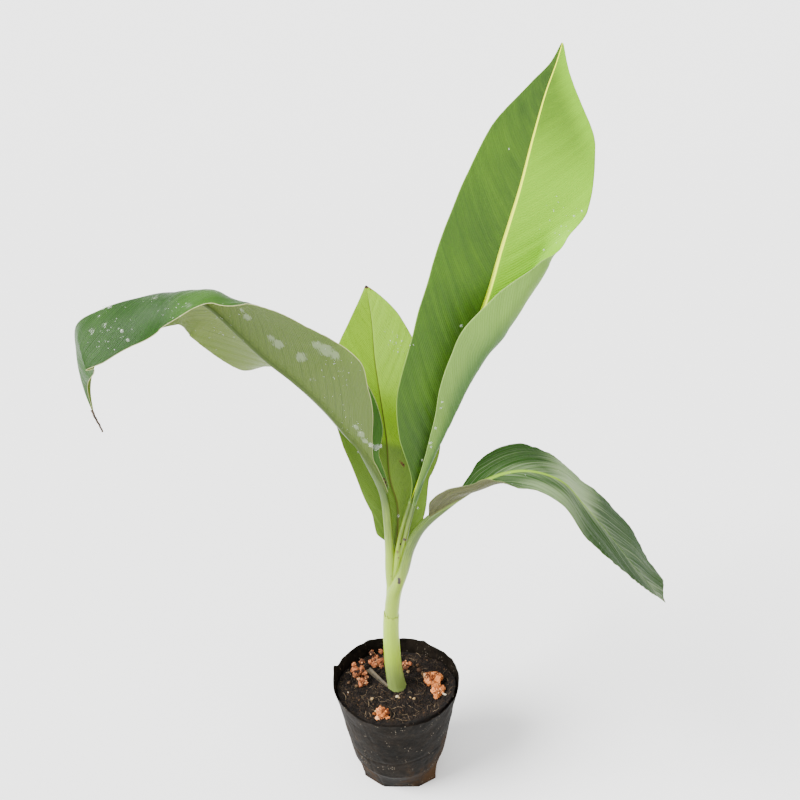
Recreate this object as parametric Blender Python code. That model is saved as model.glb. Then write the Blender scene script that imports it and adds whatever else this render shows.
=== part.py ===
"""Young banana plant in a round black grow bag, as closed solids.

Everything is worked out in millimetres and turned into metres where a mesh is made.
+Z is up, -Y faces the viewer and the origin is in the middle of the bag's flat underside.
"""

import math

import bpy
import numpy as np
from mathutils import Vector, noise

MM = 0.001
GAP = 0.3

# Grow bag: a polythene bag filled round, so it is wider at the rim than at the base
BAG_WALL = 1.2
BAG_HEIGHT = 100.0
BAG_PROFILE = [(0, 35.5), (3, 37.0), (8, 39.0), (34, 44.2), (63, 49.4), (85, 53.2), (104, 57.4)]
BAG_LEAN = 3.0
BAG_TURNS = 42
BAG_RINGS = (1.5, 3.0, 8.0, 14.0, 20.0, 26.0, 34.0, 48.0, 63.0, 74.0, 84.0)

# Folds at the foot, with flat film between them: each fold's direction from the front in degrees,
# its distance from the middle, the height where the flats end and how strong they are at the foot
FOLDS = [(-64, 36.8), (-27, 32.9), (31.5, 34.4), (60.5, 39.5), (118, 37.5), (180, 36.5), (236, 37.5)]
FLATS_END = 26.0
FLATS_STRENGTH = 0.95

# Uneven roundness, as a share of the radius, and the rim's rise and fall in millimetres
OVAL = 0.012
RIPPLE = 0.006
RIM_LIFT = 1.0
RIM_SIDES = 2.4
RIM_SWAY = 0.7
RIM_RIPPLE = 0.5

# Soil: its top slopes down towards the back, where the inside of the bag shows
SOIL_LEVEL = 94.5
SOIL_SLOPE = 0.1
SOIL_BUMP = 2.2
SOIL_FLAT_RADIUS = 11.0
SOIL_BLEND_WIDTH = 6.6
SOIL_HIGHEST = 98.5
SOIL_INSET = BAG_WALL + 1.8 * GAP
SOIL_RINGS = (0.94, 0.85, 0.74, 0.62, 0.5, 0.38, 0.28, 0.19, 0.1)

# Clods on the soil: middle x, middle y, radius, height over width
CLODS = [
    (-35.5, 18, 8.0, 0.9),
    (-31, 4, 5.0, 0.8),
    (-19.5, 34, 7.5, 0.8),
    (6, 27, 6.5, 0.8),
    (33.5, 7, 9.0, 0.8),
    (38, -11, 5.5, 0.8),
    (-12, -40, 6.5, 0.95),
]
CLOD_SINK = 0.35
CLOD_LUMPS = 0.28
CLOD_GRAIN = 0.12

# False stem: height, middle x, middle y, radius
STEM_FOOT = 95.0
STEM_TOP = 236.0
STEM = [
    (STEM_FOOT, 0.6, 0, 8.9),
    (99, -0.2, 0, 8.3),
    (126, -3.4, 0, 7.6),
    (161, -4.8, 0, 7.1),
    (176, -4.4, 0, 6.9),
    (181, -4.2, 0, 6.2),
    (194, -3.5, 0, 5.9),
    (207, -2.8, 0, 6.1),
    (220, -2.2, 0.2, 6.8),
    (STEM_TOP, -1.6, 0.5, 7.8),
]
STEM_SIDES = 18
STEM_ROWS = 26

# Leaf stalks: x, y, z, radius along each stalk
STALK_FOOT = STEM_TOP + 0.5
STALKS = {
    "stalk_upright": [
        (3, -3, STALK_FOOT, 3.7),
        (3.3, -3.6, 246, 3.7),
        (6.5, -6, 266, 3.6),
        (12.9, -8, 294.5, 3.3),
    ],
    "stalk_arching": [
        (-5.3, -0.8, STALK_FOOT, 3.8),
        (-5.6, -0.8, 246, 4.2),
        (-8, 0, 269, 4.4),
        (-12.9, 0, 300.5, 3.6),
    ],
    "stalk_drooping": [
        (2.4, -8.6, 205, 3.4),
        (5.2, -10.6, 228, 4.4),
        (12, -13, 258, 4.7),
        (20, -14.6, 276, 4.4),
        (28.6, -16, 286.6, 3.8),
    ],
}
STALK_SIDES = 14
STALK_ROWS = 16


def half(width, rise=0.0, curl=0.0, bend_from=0.0, bend_to=1.0):
    """Half of a leaf blade at one cut: its width, its angle above the blade's flat
    at the midrib and the angle it turns through between two shares of its width."""
    return [width, rise, curl, bend_from, bend_to]


# Leaves: cuts from stalk to tip, each with the midrib's place, the left half, the right half
# and how far the cut leans towards the tip for each millimetre of width
UPRIGHT_LEAF = [
    ((13, -8, 295), half(3, 40), half(4, 50, 60, 0.2, 0.6), 0),
    ((17, -8, 309), half(5, 30), half(7, 45, 100, 0.2, 0.6), 0),
    ((31, -8, 353), half(31, 15), half(19, 35, 130, 0.15, 0.6), 0),
    ((41, -8, 387), half(42, 12), half(32, 10, 150, 0.12, 0.5), 0),
    ((54, -6, 427), half(44.5, 10), half(48.3, 5, 175, 0.1, 0.64), 0),
    ((61, -5, 449.5), half(46, 9), half(64.2, 2, 179, 0.135, 0.7), 0),
    ((68, -4, 472), half(46, 8), half(63.1, 0, 182, 0.24, 0.78), 0),
    ((76, 0, 503), half(44.5, 6), half(53, 0, 165, 0.5, 0.95), 0),
    ((81, 0, 522.5), half(42.5, 5.5), half(44, 0, 50, 0.61, 0.98), 0),
    ((86, 0, 542), half(40, 5), half(50.5, 0, 14, 0.6, 1.0), 0),
    ((94, 0, 581), half(30, 5), half(44, 0, 0, 0.6, 1.0), 0),
    ((101, 0, 611), half(12, 5), half(23, 0, 0, 0.6, 1.0), 0),
    ((106, 0, 627), half(3.5, 5), half(8, 0, 0, 0.6, 1.0), 0),
    ((109, 0, 639), half(0.6, 5), half(0.6, 0, 0, 0.6, 1.0), 0),
]
BACK_LEAF = [
    ((0, 6.2, STALK_FOOT + 0.3), half(3.5, 0), half(3.5, 0), 0),
    ((0.4, 7.2, 243), half(5, 10), half(5, 10), 0),
    ((1, 10, 255), half(18, 10), half(15, 15), 0),
    ((1, 13.5, 280), half(23, 15), half(26, 20), 0),
    ((-5, 20, 301), half(27, 20), half(37, 20), 0),
    ((-8, 32, 332), half(38, 20), half(47, 20), 0),
    ((-13, 46, 363), half(42, 15), half(46, 15), 0),
    ((-18, 62, 393), half(35, 10), half(39, 10), 0),
    ((-21, 80, 422), half(19, 10), half(24, 10), 0),
    ((-24, 92, 438), half(7, 10), half(10, 10), 0),
    ((-26, 100, 446), half(0.6), half(0.6), 0),
]
ARCHING_LEAF = [
    ((-13, 0, 301), half(4, 60), half(5, 60), 0),
    ((-24, -2, 329), half(5, 60), half(9, 70), 0),
    ((-32, -3, 343.5), half(15, 60), half(25, 66), 0),
    ((-40, -4, 356), half(28, 60, 6), half(33, 60, 10), 0),
    ((-54, -6, 378), half(46, 62, 8), half(41, 50), 0),
    ((-66, -7, 392), half(57, 67, 4), half(43, 18), 0),
    ((-79, -8, 405), half(52, 73), half(43, -8), 0),
    ((-98, -10, 423), half(50, 72, -10), half(45, -38, -20), 0),
    ((-115, -10, 441), half(50, 74, -36), half(45, -45, -22), 0),
    ((-126, -10, 453), half(51, 79, -70), half(45, -48, -20), 0),
    ((-135, -10, 462), half(51, 81, -108), half(44, -50, -18), 0),
    ((-148, -10, 469.5), half(52, 58, -122), half(43, -48, -16), 0),
    ((-162, -10, 473), half(47, 25, -90), half(42, -45, -15), 0),
    ((-187, -12, 470), half(43, -5, -65), half(38, -50, -10), 0.1),
    ((-213, -16, 462.5), half(45, -18, -48), half(34, -46, -8), 0.2),
    ((-230, -20, 453), half(41, -22, -40), half(24, -42), 0.35),
    ((-233, -22, 433), half(22, -22, -40), half(8, -60), 0.7),
    ((-232, -24, 407), half(5, -40, -30), half(2.5, -70), 0.8),
    ((-228, -24, 386), half(0.8, -60), half(0.8, -70), 0.8),
]
DROOPING_LEAF = [
    ((29, -16, 287), half(3, 60), half(4, 70), 0),
    ((38, -17, 296), half(4, 60), half(16, 60, 15), 0),
    ((51, -20, 308), half(5, 55), half(20, 30, 65), 0),
    ((62, -22, 318), half(11, 40), half(24, -5, 100), 0),
    ((73, -24, 327), half(26, 15), half(29, -16, 98), 0),
    ((100, -28, 336), half(35, 6), half(30, -3), 0),
    ((128, -30, 328), half(32, 4), half(34, -8), 0),
    ((147, -30, 307), half(34, 9), half(40, -10), 0),
    ((163, -30, 288), half(37, 15), half(41, -6), 0),
    ((189, -30, 254), half(41, 16), half(28, -2), 0.05),
    ((211, -30, 227), half(37, 8), half(8, 0), 0.2),
    ((218, -30, 219), half(26, 11), half(3, 0), 0.4),
    ((223, -30, 213.5), half(0.7), half(0.7), 0.3),
]

# Each leaf: its cuts, the side that its right half points to, its columns of faces in the left
# and right half, and its blade thickness
LEAVES = {
    "upright": (UPRIGHT_LEAF, (1, 0, 0), 5, 11, 3.5),
    "back": (BACK_LEAF, (1, 0, 0), 6, 6, 2.3),
    "arching": (ARCHING_LEAF, (0, 1, 0), 8, 6, 3.6),
    "drooping": (DROOPING_LEAF, (0, -1, 0), 6, 7, 2.8),
}
MARGIN_THICKNESS = 0.55

# Each node of a leaf: the leaf, first cut, last cut, rows, midrib depth at the first and last cut.
# A leaf that arches over a wide gap is split at its bends
LEAF_NODES = {
    "leaf_upright": ("upright", 0, 13, 32, 3.4, 0.3),
    "leaf_back": ("back", 0, 10, 26, 3.2, 0.2),
    "leaf_arching_inner": ("arching", 0, 11, 28, 3.0, 1.3),
    "leaf_arching_outer": ("arching", 11, 14, 12, 1.3, 0.8),
    "leaf_arching_tip": ("arching", 14, 18, 12, 0.8, 0.1),
    "leaf_drooping_inner": ("drooping", 0, 5, 20, 3.2, 1.4),
    "leaf_drooping_outer": ("drooping", 5, 12, 20, 1.4, 0.2),
}
SPLIT_GAP = 2 * GAP
RIB_SHARE = 0.2
STEP = 0.5

# Dried thread at the end of the arching leaf: x, y, z, radius
THREAD = [
    (-227.6, -24.3, 384.8, 0.9),
    (-226, -25, 380, 0.8),
    (-223.5, -25.3, 373.5, 0.7),
    (-222, -25.6, 368.5, 0.6),
]
THREAD_SIDES = 6
THREAD_ROWS = 8
FINE_STEPS = 8
SHARP_ANGLE = math.radians(40)


def curve(values, knots, reads, held):
    """A smooth curve through rows of values, read at places along the knots.
    A held one never overshoots between two rows."""
    values = np.asarray(values, float)
    spans = np.diff(knots)[:, None]
    slopes = np.diff(values, axis=0) / spans
    bends = np.empty_like(values)
    if held:
        bends[0], bends[-1] = slopes[0], slopes[-1]
        product = slopes[:-1] * slopes[1:]
        total = np.where(product > 0, slopes[:-1] + slopes[1:], 1.0)
        bends[1:-1] = np.where(product > 0, 2 * product / total, 0.0)
    else:
        share = spans[1:] / (spans[1:] + spans[:-1])
        bends[1:-1] = share * slopes[:-1] + (1 - share) * slopes[1:]
        bends[0] = 2 * slopes[0] - bends[1]
        bends[-1] = 2 * slopes[-1] - bends[-2]
    i = np.clip(np.searchsorted(knots, reads, side="right") - 1, 0, len(spans) - 1)
    span = spans[i]
    f = (reads - knots[i])[:, None] / span
    start = values[i] * (2 * f**3 - 3 * f**2 + 1) + bends[i] * span * (f**3 - 2 * f**2 + f)
    end = values[i + 1] * (3 * f**2 - 2 * f**3) + bends[i + 1] * span * (f**3 - f**2)
    return start + end


def unit(vectors):
    return vectors / np.linalg.norm(vectors, axis=-1, keepdims=True)


def lengths_along(points):
    steps = np.linalg.norm(np.diff(points, axis=0), axis=1)
    return np.concatenate([[0.0], np.cumsum(steps)])


def blade_half(forms, sign, columns, centre, across, normal, tangent, lean):
    """Points from the midrib out to the margin of one half, row by row."""
    width, rise, curl, bend_from, bend_to = [forms[:, k][:, None] for k in range(5)]
    share = np.linspace(0, 1, columns * FINE_STEPS + 1)[None, :]
    angle = np.radians(rise + curl * np.clip((share - bend_from) / (bend_to - bend_from), 0, 1))
    middle = (angle[:, 1:] + angle[:, :-1]) / 2
    step = width / (columns * FINE_STEPS)
    zero = np.zeros_like(width)
    out = np.concatenate([zero, np.cumsum(np.cos(middle) * step, axis=1)], axis=1)[:, ::FINE_STEPS]
    lift = np.concatenate([zero, np.cumsum(np.sin(middle) * step, axis=1)], axis=1)[:, ::FINE_STEPS]
    ahead = lean * width * share[:, ::FINE_STEPS]
    return (
        centre[:, None, :]
        + sign * out[..., None] * across[:, None, :]
        + lift[..., None] * normal[:, None, :]
        + ahead[..., None] * tangent[:, None, :]
    )


def leaf_grid(cuts, side, reads, left_columns, right_columns):
    """The middle of a blade as a grid of points, from the left margin to the right one."""
    points = np.array([cut[0] for cut in cuts], float)
    knots = lengths_along(points)
    centre = curve(points, knots, reads, False)
    tangent = unit(curve(points, knots, reads + STEP, False) - curve(points, knots, reads - STEP, False))
    side = np.array(side, float)
    across = unit(side - tangent * (tangent @ side)[:, None])
    normal = np.cross(across, tangent)
    forms = curve([cut[1] + cut[2] + [cut[3]] for cut in cuts], knots, reads, True)
    lean = forms[:, 10][:, None]
    left = blade_half(forms[:, :5], -1, left_columns, centre, across, normal, tangent, lean)
    right = blade_half(forms[:, 5:10], 1, right_columns, centre, across, normal, tangent, lean)
    return np.concatenate([left[:, ::-1], right[:, 1:]], axis=1)


def make_solid(name, points, faces, material):
    mesh = bpy.data.meshes.new(name)
    mesh.from_pydata([tuple(float(v) * MM for v in point) for point in points], [], faces)
    mesh.validate()
    mesh.shade_smooth()
    mesh.set_sharp_from_angle(angle=SHARP_ANGLE)
    mesh.materials.append(material)
    solid = bpy.data.objects.new(name, mesh)
    bpy.context.scene.collection.objects.link(solid)
    return solid


def make_leaf(name, plan, material):
    """A blade that is thickest beside the midrib, with the midrib as a ridge underneath."""
    leaf, first, last, rows, rib_first, rib_last = plan
    cuts, side, left_columns, right_columns, thick = LEAVES[leaf]
    knots = lengths_along(np.array([cut[0] for cut in cuts], float))
    reads = np.linspace(knots[first] + (SPLIT_GAP if first else 0.0), knots[last], rows)
    grid = leaf_grid(cuts, side, reads, left_columns, right_columns)
    down = leaf_grid(cuts, side, reads + STEP, left_columns, right_columns)
    down -= leaf_grid(cuts, side, reads - STEP, left_columns, right_columns)
    normals = unit(np.cross(np.gradient(grid, axis=1), down))
    columns = left_columns + right_columns + 1
    place = np.arange(columns) - left_columns
    share = np.where(place < 0, -place / left_columns, place / right_columns)
    half_thick = thick / 2 * (1 - (1 - MARGIN_THICKNESS) * share**2)
    rib = np.linspace(rib_first, rib_last, rows)[:, None] * np.clip(1 - share / RIB_SHARE, 0, 1)[None, :]
    top = grid + normals * half_thick[None, :, None]
    bottom = grid - normals * (half_thick[None, :] + rib)[..., None]
    points = np.concatenate([top.reshape(-1, 3), bottom.reshape(-1, 3)])
    below = rows * columns
    faces = []
    for i in range(rows - 1):
        for j in range(columns - 1):
            a = i * columns + j
            b = a + columns
            faces.append((a, a + 1, b + 1, b))
            faces.append((a + below, b + below, b + 1 + below, a + 1 + below))
    border = [j for j in range(columns)]
    border += [i * columns + columns - 1 for i in range(1, rows)]
    border += [(rows - 1) * columns + j for j in range(columns - 2, -1, -1)]
    border += [i * columns for i in range(rows - 2, 0, -1)]
    for k, a in enumerate(border):
        b = border[(k + 1) % len(border)]
        faces.append((a, a + below, b + below, b))
    return make_solid(name, points, faces, material)


def ring_solid(name, rings, material):
    """A closed solid from rings of points that all have the same count."""
    count = len(rings[0])
    points = [point for ring in rings for point in ring]
    faces = []
    for i in range(len(rings) - 1):
        for j in range(count):
            k = (j + 1) % count
            faces.append((i * count + j, i * count + k, (i + 1) * count + k, (i + 1) * count + j))
    faces.append(tuple(reversed(range(count))))
    faces.append(tuple(range((len(rings) - 1) * count, len(rings) * count)))
    return make_solid(name, points, faces, material)


def make_tube(name, path, sides, rows, material):
    """A tapering stalk with flat ends. Each point of the path is x, y, z and radius."""
    path = np.asarray(path, float)
    knots = lengths_along(path[:, :3])
    reads = np.linspace(0, knots[-1], rows)
    centre = curve(path[:, :3], knots, reads, False)
    radius = curve(path[:, 3:], knots, reads, True)[:, 0]
    tangent = unit(np.gradient(centre, reads, axis=0))
    across = unit(np.cross(tangent, (0.0, 1.0, 0.0)))
    front = np.cross(tangent, across)
    rings = []
    for i in range(rows):
        ring = []
        for j in range(sides):
            turn = math.tau * j / sides
            ring.append(centre[i] + radius[i] * (math.cos(turn) * across[i] + math.sin(turn) * front[i]))
        rings.append(ring)
    return ring_solid(name, rings, material)


def flat_reach(turn):
    """How far the flat film between two folds is from the middle at the foot."""
    first = FOLDS[0][0]
    folds = FOLDS + [(first + 360, FOLDS[0][1])]
    away = (math.degrees(turn) + 90 - first) % 360 + first
    for (start, near), (end, far) in zip(folds, folds[1:]):
        if away <= end:
            past, left = math.radians(away - start), math.radians(end - away)
            return near * far * math.sin(past + left) / (near * math.sin(past) + far * math.sin(left))
    return FOLDS[0][1]


def bag_radius(height, turn):
    """Radius of the bag's outside. Low down it has flats between folds, one flat at the front."""
    heights = [h for h, _ in BAG_PROFILE]
    radius = float(np.interp(height, heights, [r for _, r in BAG_PROFILE]))
    strength = max(0.0, 1 - height / FLATS_END) * FLATS_STRENGTH
    uneven = 1 + OVAL * math.sin(2 * turn + 0.6) + RIPPLE * math.sin(5 * turn + 2.0 + height / 40)
    return radius * uneven * (1 - strength) + flat_reach(turn) * strength


def bag_point(height, turn, inset):
    radius = bag_radius(height, turn) - inset
    x = BAG_LEAN * (1 - height / BAG_HEIGHT) + radius * math.cos(turn)
    return x, radius * math.sin(turn), height


def rim_height(turn):
    lift = RIM_LIFT + RIM_SIDES * math.cos(turn) ** 2
    return BAG_HEIGHT + lift + RIM_SWAY * math.sin(3 * turn + 1.0) + RIM_RIPPLE * math.sin(7 * turn)


def make_bag(material):
    turns = [math.tau * j / BAG_TURNS for j in range(BAG_TURNS)]
    rings = []
    for height in (0.0,) + BAG_RINGS:
        rings.append([bag_point(height, turn, 0) for turn in turns])
    rings.append([bag_point(rim_height(turn), turn, 0) for turn in turns])
    rings.append([bag_point(rim_height(turn), turn, BAG_WALL) for turn in turns])
    for height in reversed(BAG_RINGS):
        rings.append([bag_point(height, turn, BAG_WALL) for turn in turns])
    return ring_solid("grow_bag", rings, material)


def soil_height(x, y):
    """Height of the soil's top, level in a small disc that the stem stands on."""
    bumps = noise.noise(Vector((x / 14, y / 14, 3.0))) + 0.5 * noise.noise(Vector((x / 6, y / 6, 8.0)))
    rough = min(SOIL_LEVEL - SOIL_SLOPE * y + SOIL_BUMP * bumps, SOIL_HIGHEST)
    beyond = math.hypot(x - STEM[0][1], y) - SOIL_FLAT_RADIUS
    blend = min(1.0, max(0.0, beyond / SOIL_BLEND_WIDTH))
    return (STEM_FOOT - GAP) * (1 - blend) + rough * blend


def make_soil(material):
    turns = [math.tau * j / BAG_TURNS for j in range(BAG_TURNS)]
    rings = []
    for height in (BAG_RINGS[0] + GAP,) + BAG_RINGS[1:]:
        rings.append([bag_point(height, turn, SOIL_INSET) for turn in turns])
    edge = []
    for turn in turns:
        x, y, _ = bag_point(SOIL_LEVEL, turn, SOIL_INSET)
        edge.append(bag_point(soil_height(x, y), turn, SOIL_INSET))
    rings.append(edge)
    for share in SOIL_RINGS:
        rings.append([(x * share, y * share, soil_height(x * share, y * share)) for x, y, _ in edge])
    return ring_solid("soil", rings, material)


def make_clod(name, place, grow, material):
    """A lump of dried soil. Grown, the same lump cuts the dimple that it sits in."""
    x, y, radius, squash = place
    z = SOIL_LEVEL - SOIL_SLOPE * y + radius * squash * (1 - 2 * CLOD_SINK)
    bpy.ops.mesh.primitive_ico_sphere_add(subdivisions=2, radius=1)
    clod = bpy.context.object
    clod.name = name
    clod.data.shade_smooth()
    clod.data.materials.append(material)
    seed = Vector((x / 9, y / 9, 1.7))
    for vertex in clod.data.vertices:
        direction = vertex.co.normalized()
        swell = 1 + CLOD_LUMPS * noise.noise(direction * 1.9 + seed)
        swell += CLOD_GRAIN * noise.noise(direction * 5 + seed)
        reach = direction * (radius * swell + grow)
        vertex.co = Vector((reach.x + x, reach.y + y, reach.z * squash + z)) * MM
    return clod


def cut_dimples(soil, cutters):
    for cutter in cutters:
        dimple = soil.modifiers.new("dimple", "BOOLEAN")
        dimple.operation = "DIFFERENCE"
        dimple.solver = "EXACT"
        dimple.object = cutter
        cutter.hide_render = True
        cutter.display_type = "WIRE"


def make_material(name, colour, roughness):
    material = bpy.data.materials.new(name)
    material.use_nodes = True
    shader = material.node_tree.nodes["Principled BSDF"]
    shader.inputs["Base Color"].default_value = (*colour, 1)
    shader.inputs["Roughness"].default_value = roughness
    material.diffuse_color = (*colour, 1)
    return material


def make_stem(material):
    heights = np.array([cut[0] for cut in STEM], float)
    reads = np.linspace(STEM_FOOT, STEM_TOP, STEM_ROWS)
    rows = curve([cut[1:] for cut in STEM], heights, reads, True)
    rings = []
    for (x, y, radius), z in zip(rows, reads):
        turns = [math.tau * j / STEM_SIDES for j in range(STEM_SIDES)]
        rings.append([(x + radius * math.cos(turn), y + radius * math.sin(turn), z) for turn in turns])
    return ring_solid("false_stem", rings, material)


def main():
    for old in list(bpy.data.objects):
        bpy.data.objects.remove(old)
    bag_black = make_material("bag_black", (0.03, 0.03, 0.032), 0.5)
    soil_brown = make_material("soil_brown", (0.05, 0.032, 0.022), 0.95)
    clod_red = make_material("clod_red", (0.42, 0.19, 0.09), 0.95)
    stem_green = make_material("stem_green", (0.42, 0.52, 0.16), 0.5)
    leaf_green = make_material("leaf_green", (0.13, 0.28, 0.05), 0.5)
    dried_brown = make_material("dried_brown", (0.2, 0.14, 0.08), 0.9)
    make_bag(bag_black)
    soil = make_soil(soil_brown)
    cutters = []
    for number, place in enumerate(CLODS, 1):
        make_clod(f"clod_{number}", place, 0.0, clod_red)
        cutters.append(make_clod(f"dimple_{number}", place, GAP, clod_red))
    cut_dimples(soil, cutters)
    make_stem(stem_green)
    for name, path in STALKS.items():
        make_tube(name, path, STALK_SIDES, STALK_ROWS, stem_green)
    for name, plan in LEAF_NODES.items():
        make_leaf(name, plan, leaf_green)
    make_tube("dried_thread", THREAD, THREAD_SIDES, THREAD_ROWS, dried_brown)


main()
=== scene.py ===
"""Looks of a young banana plant in a round black grow bag.

Lengths are in millimetres, and a mesh is turned into metres as it is made. The leaf cuts, the
stalk paths and the bag's profile follow the solids' values, so each fine piece lies on its
solid, here and there a few millimetres off.
"""

import math

import bmesh
import bpy
import numpy as np
from mathutils import Matrix, Vector, noise
from mathutils.bvhtree import BVHTree


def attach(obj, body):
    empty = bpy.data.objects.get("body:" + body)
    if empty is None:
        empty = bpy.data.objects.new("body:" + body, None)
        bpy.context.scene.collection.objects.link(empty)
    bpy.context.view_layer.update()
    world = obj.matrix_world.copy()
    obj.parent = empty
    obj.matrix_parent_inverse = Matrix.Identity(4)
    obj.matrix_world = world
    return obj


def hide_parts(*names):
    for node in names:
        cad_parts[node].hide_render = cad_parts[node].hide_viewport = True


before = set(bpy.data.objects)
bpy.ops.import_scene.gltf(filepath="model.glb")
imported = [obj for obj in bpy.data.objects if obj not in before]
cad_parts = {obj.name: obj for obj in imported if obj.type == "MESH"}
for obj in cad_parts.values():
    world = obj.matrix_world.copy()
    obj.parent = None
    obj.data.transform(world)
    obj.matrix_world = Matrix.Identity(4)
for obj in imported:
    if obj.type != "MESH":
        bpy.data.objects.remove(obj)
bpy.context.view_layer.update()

MM = 0.001

# Camera, as it stood for the photograph
CAMERA_PLACE = (0.0032, -0.590, 0.650)
CAMERA_TILT = math.radians(65.7)
CAMERA_LENS = 37.44
SENSOR_WIDTH = 36.0
PICTURE_SIZE = 800

# Grow bag, with flat film between folds at its foot. Each fold: its direction from the front in
# degrees and its distance from the middle
BAG_WALL = 0.5
BAG_HEIGHT = 100.0
BAG_PROFILE = [(0, 35.5), (3, 37.0), (8, 39.0), (34, 44.2), (63, 49.4), (85, 53.2), (104, 57.4)]
BAG_LEAN = 3.0
FOLDS = [(-64, 36.8), (-27, 32.9), (31.5, 34.4), (60.5, 39.5), (118, 37.5), (180, 36.5), (236, 37.5)]
FLATS_END = 26.0
FLATS_STRENGTH = 0.95
OVAL = 0.012
RIPPLE = 0.006
RIM_LIFT = 1.4
RIM_SIDES = 2.4
RIM_BACK = 1.8
RIM_SWAY = 0.7
RIM_RIPPLE = 0.5

# Soil
SOIL_LEVEL = 94.5
SOIL_SLOPE = 0.1
SOIL_BUMP = 2.2
SOIL_FLAT_RADIUS = 11.0
SOIL_BLEND_WIDTH = 6.6
SOIL_HIGHEST = 98.6
SOIL_BANK = 3.4
SOIL_BANK_LEAN = 0.013

# Clods on the soil: middle x, middle y, radius, height over width
CLODS = [
    (-35.5, 18, 8.0, 0.9),
    (-31, 4, 5.0, 0.8),
    (-19.5, 34, 7.5, 0.8),
    (6, 27, 6.5, 0.8),
    (33.5, 7, 9.0, 0.8),
    (38, -11, 5.5, 0.8),
    (-12, -40, 6.5, 0.95),
]
CLOD_SINK = 0.35
CLOD_SEED = 30
FIRM_CLODS = (5, 6)
RED_CLODS = (5, 6, 7)

# Lumps of a clod: smallest and largest as shares of its radius, and how many
FIRM_LUMPS = (0.3, 0.5, 26)
LOOSE_LUMPS = (0.13, 0.34, 46)
CORE_SHARE = 0.55
CORE_TONE = 0.1

# Grains on a clod: how many on a square metre and their largest radii
FIRM_CRUST = (520000, (0.6, 0.6, 0.5))
LOOSE_CRUST = (230000, (0.9, 0.85, 0.7))

# The scene's clods spread wider than their solids: further lumps by middle x, y, z, radius, tone
FURTHER_LUMPS = {
    1: [(-38, 10, 98, 2.6, 0.4), (-40, 22, 100, 2.2, 0.8), (-33, 26, 100, 2.4, 0.3),
        (-29, 13, 98, 2.4, 0.6)],
    2: [(-33, -1, 97, 2.0, 0.7), (-28, 7, 98, 2.2, 0.3), (-35, 5, 98, 2.0, 0.9)],
    3: [(-15, 41, 99, 2.8, 0.5), (-24, 39, 99, 2.4, 0.2), (-13, 30, 98, 2.8, 0.4), (-21, 25, 98, 2.6, 0.6),
        (-14, 22, 98, 2.2, 0.3), (-25, 27, 99, 2.0, 0.8), (-9, 36, 98, 2.0, 0.4)],
    4: [(9, 20, 98, 2.2, 0.3), (13, 25, 98, 1.8, 0.6), (2, 32, 99, 2.0, 0.5)],
    5: [(38, 1, 101, 4.2, 0.6), (35, -3, 100, 3.6, 0.5), (40, 5, 100, 3.0, 0.4), (31, 0, 99, 3.0, 0.7)],
    6: [(37, -6, 100, 3.6, 0.5), (42, -8, 99, 3.0, 0.4), (34, -9, 98, 2.8, 0.6), (36, -16, 98, 2.8, 0.5)],
    7: [(-14, -32, 99, 2.0, 0.6), (-16, -44, 99, 2.6, 0.9), (-8, -44, 99, 2.8, 0.8),
        (-19, -38, 98, 1.6, 0.4)],
}
LUMP_EDGE = math.radians(38)
BITS_SEED = 12

# Bits that lie on the soil: x, y, radius, tone
BITS = [
    (0.5, -16.5, 1.7, 0.95),
    (2.2, -17.5, 1.0, 0.7),
    (15.8, -18.9, 1.3, 0.9),
    (12.5, -17.5, 0.8, 0.7),
    (-22, -20.1, 1.4, 0.6),
    (-44.1, -10.3, 0.9, 1.0),
    (-18, -36, 1.2, 0.8),
    (-44, 3, 1.7, 0.2),
    (-37, -1, 2.0, 0.25),
    (11, 20, 1.4, 0.5),
    (20, 30, 2.2, 0.2),
    (21, 22, 2.4, 0.1),
    (24, 17, 1.5, 0.3),
    (30, -36, 0.8, 1.0),
    (46, -22, 0.8, 0.9),
]

# False stem: height, middle x, middle y, radius
STEM_FOOT = 95.0
STEM_TOP = 236.0
STEM = [
    (STEM_FOOT, 0.6, 0, 8.9),
    (99, -0.2, 0, 8.3),
    (126, -3.4, 0, 7.6),
    (161, -4.8, 0, 7.1),
    (176, -4.4, 0, 6.9),
    (181, -4.2, 0, 6.2),
    (194, -3.5, 0, 5.9),
    (207, -2.8, 0, 6.1),
    (220, -2.2, 0.2, 6.8),
    (STEM_TOP, -1.6, 0.5, 7.8),
]

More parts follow.
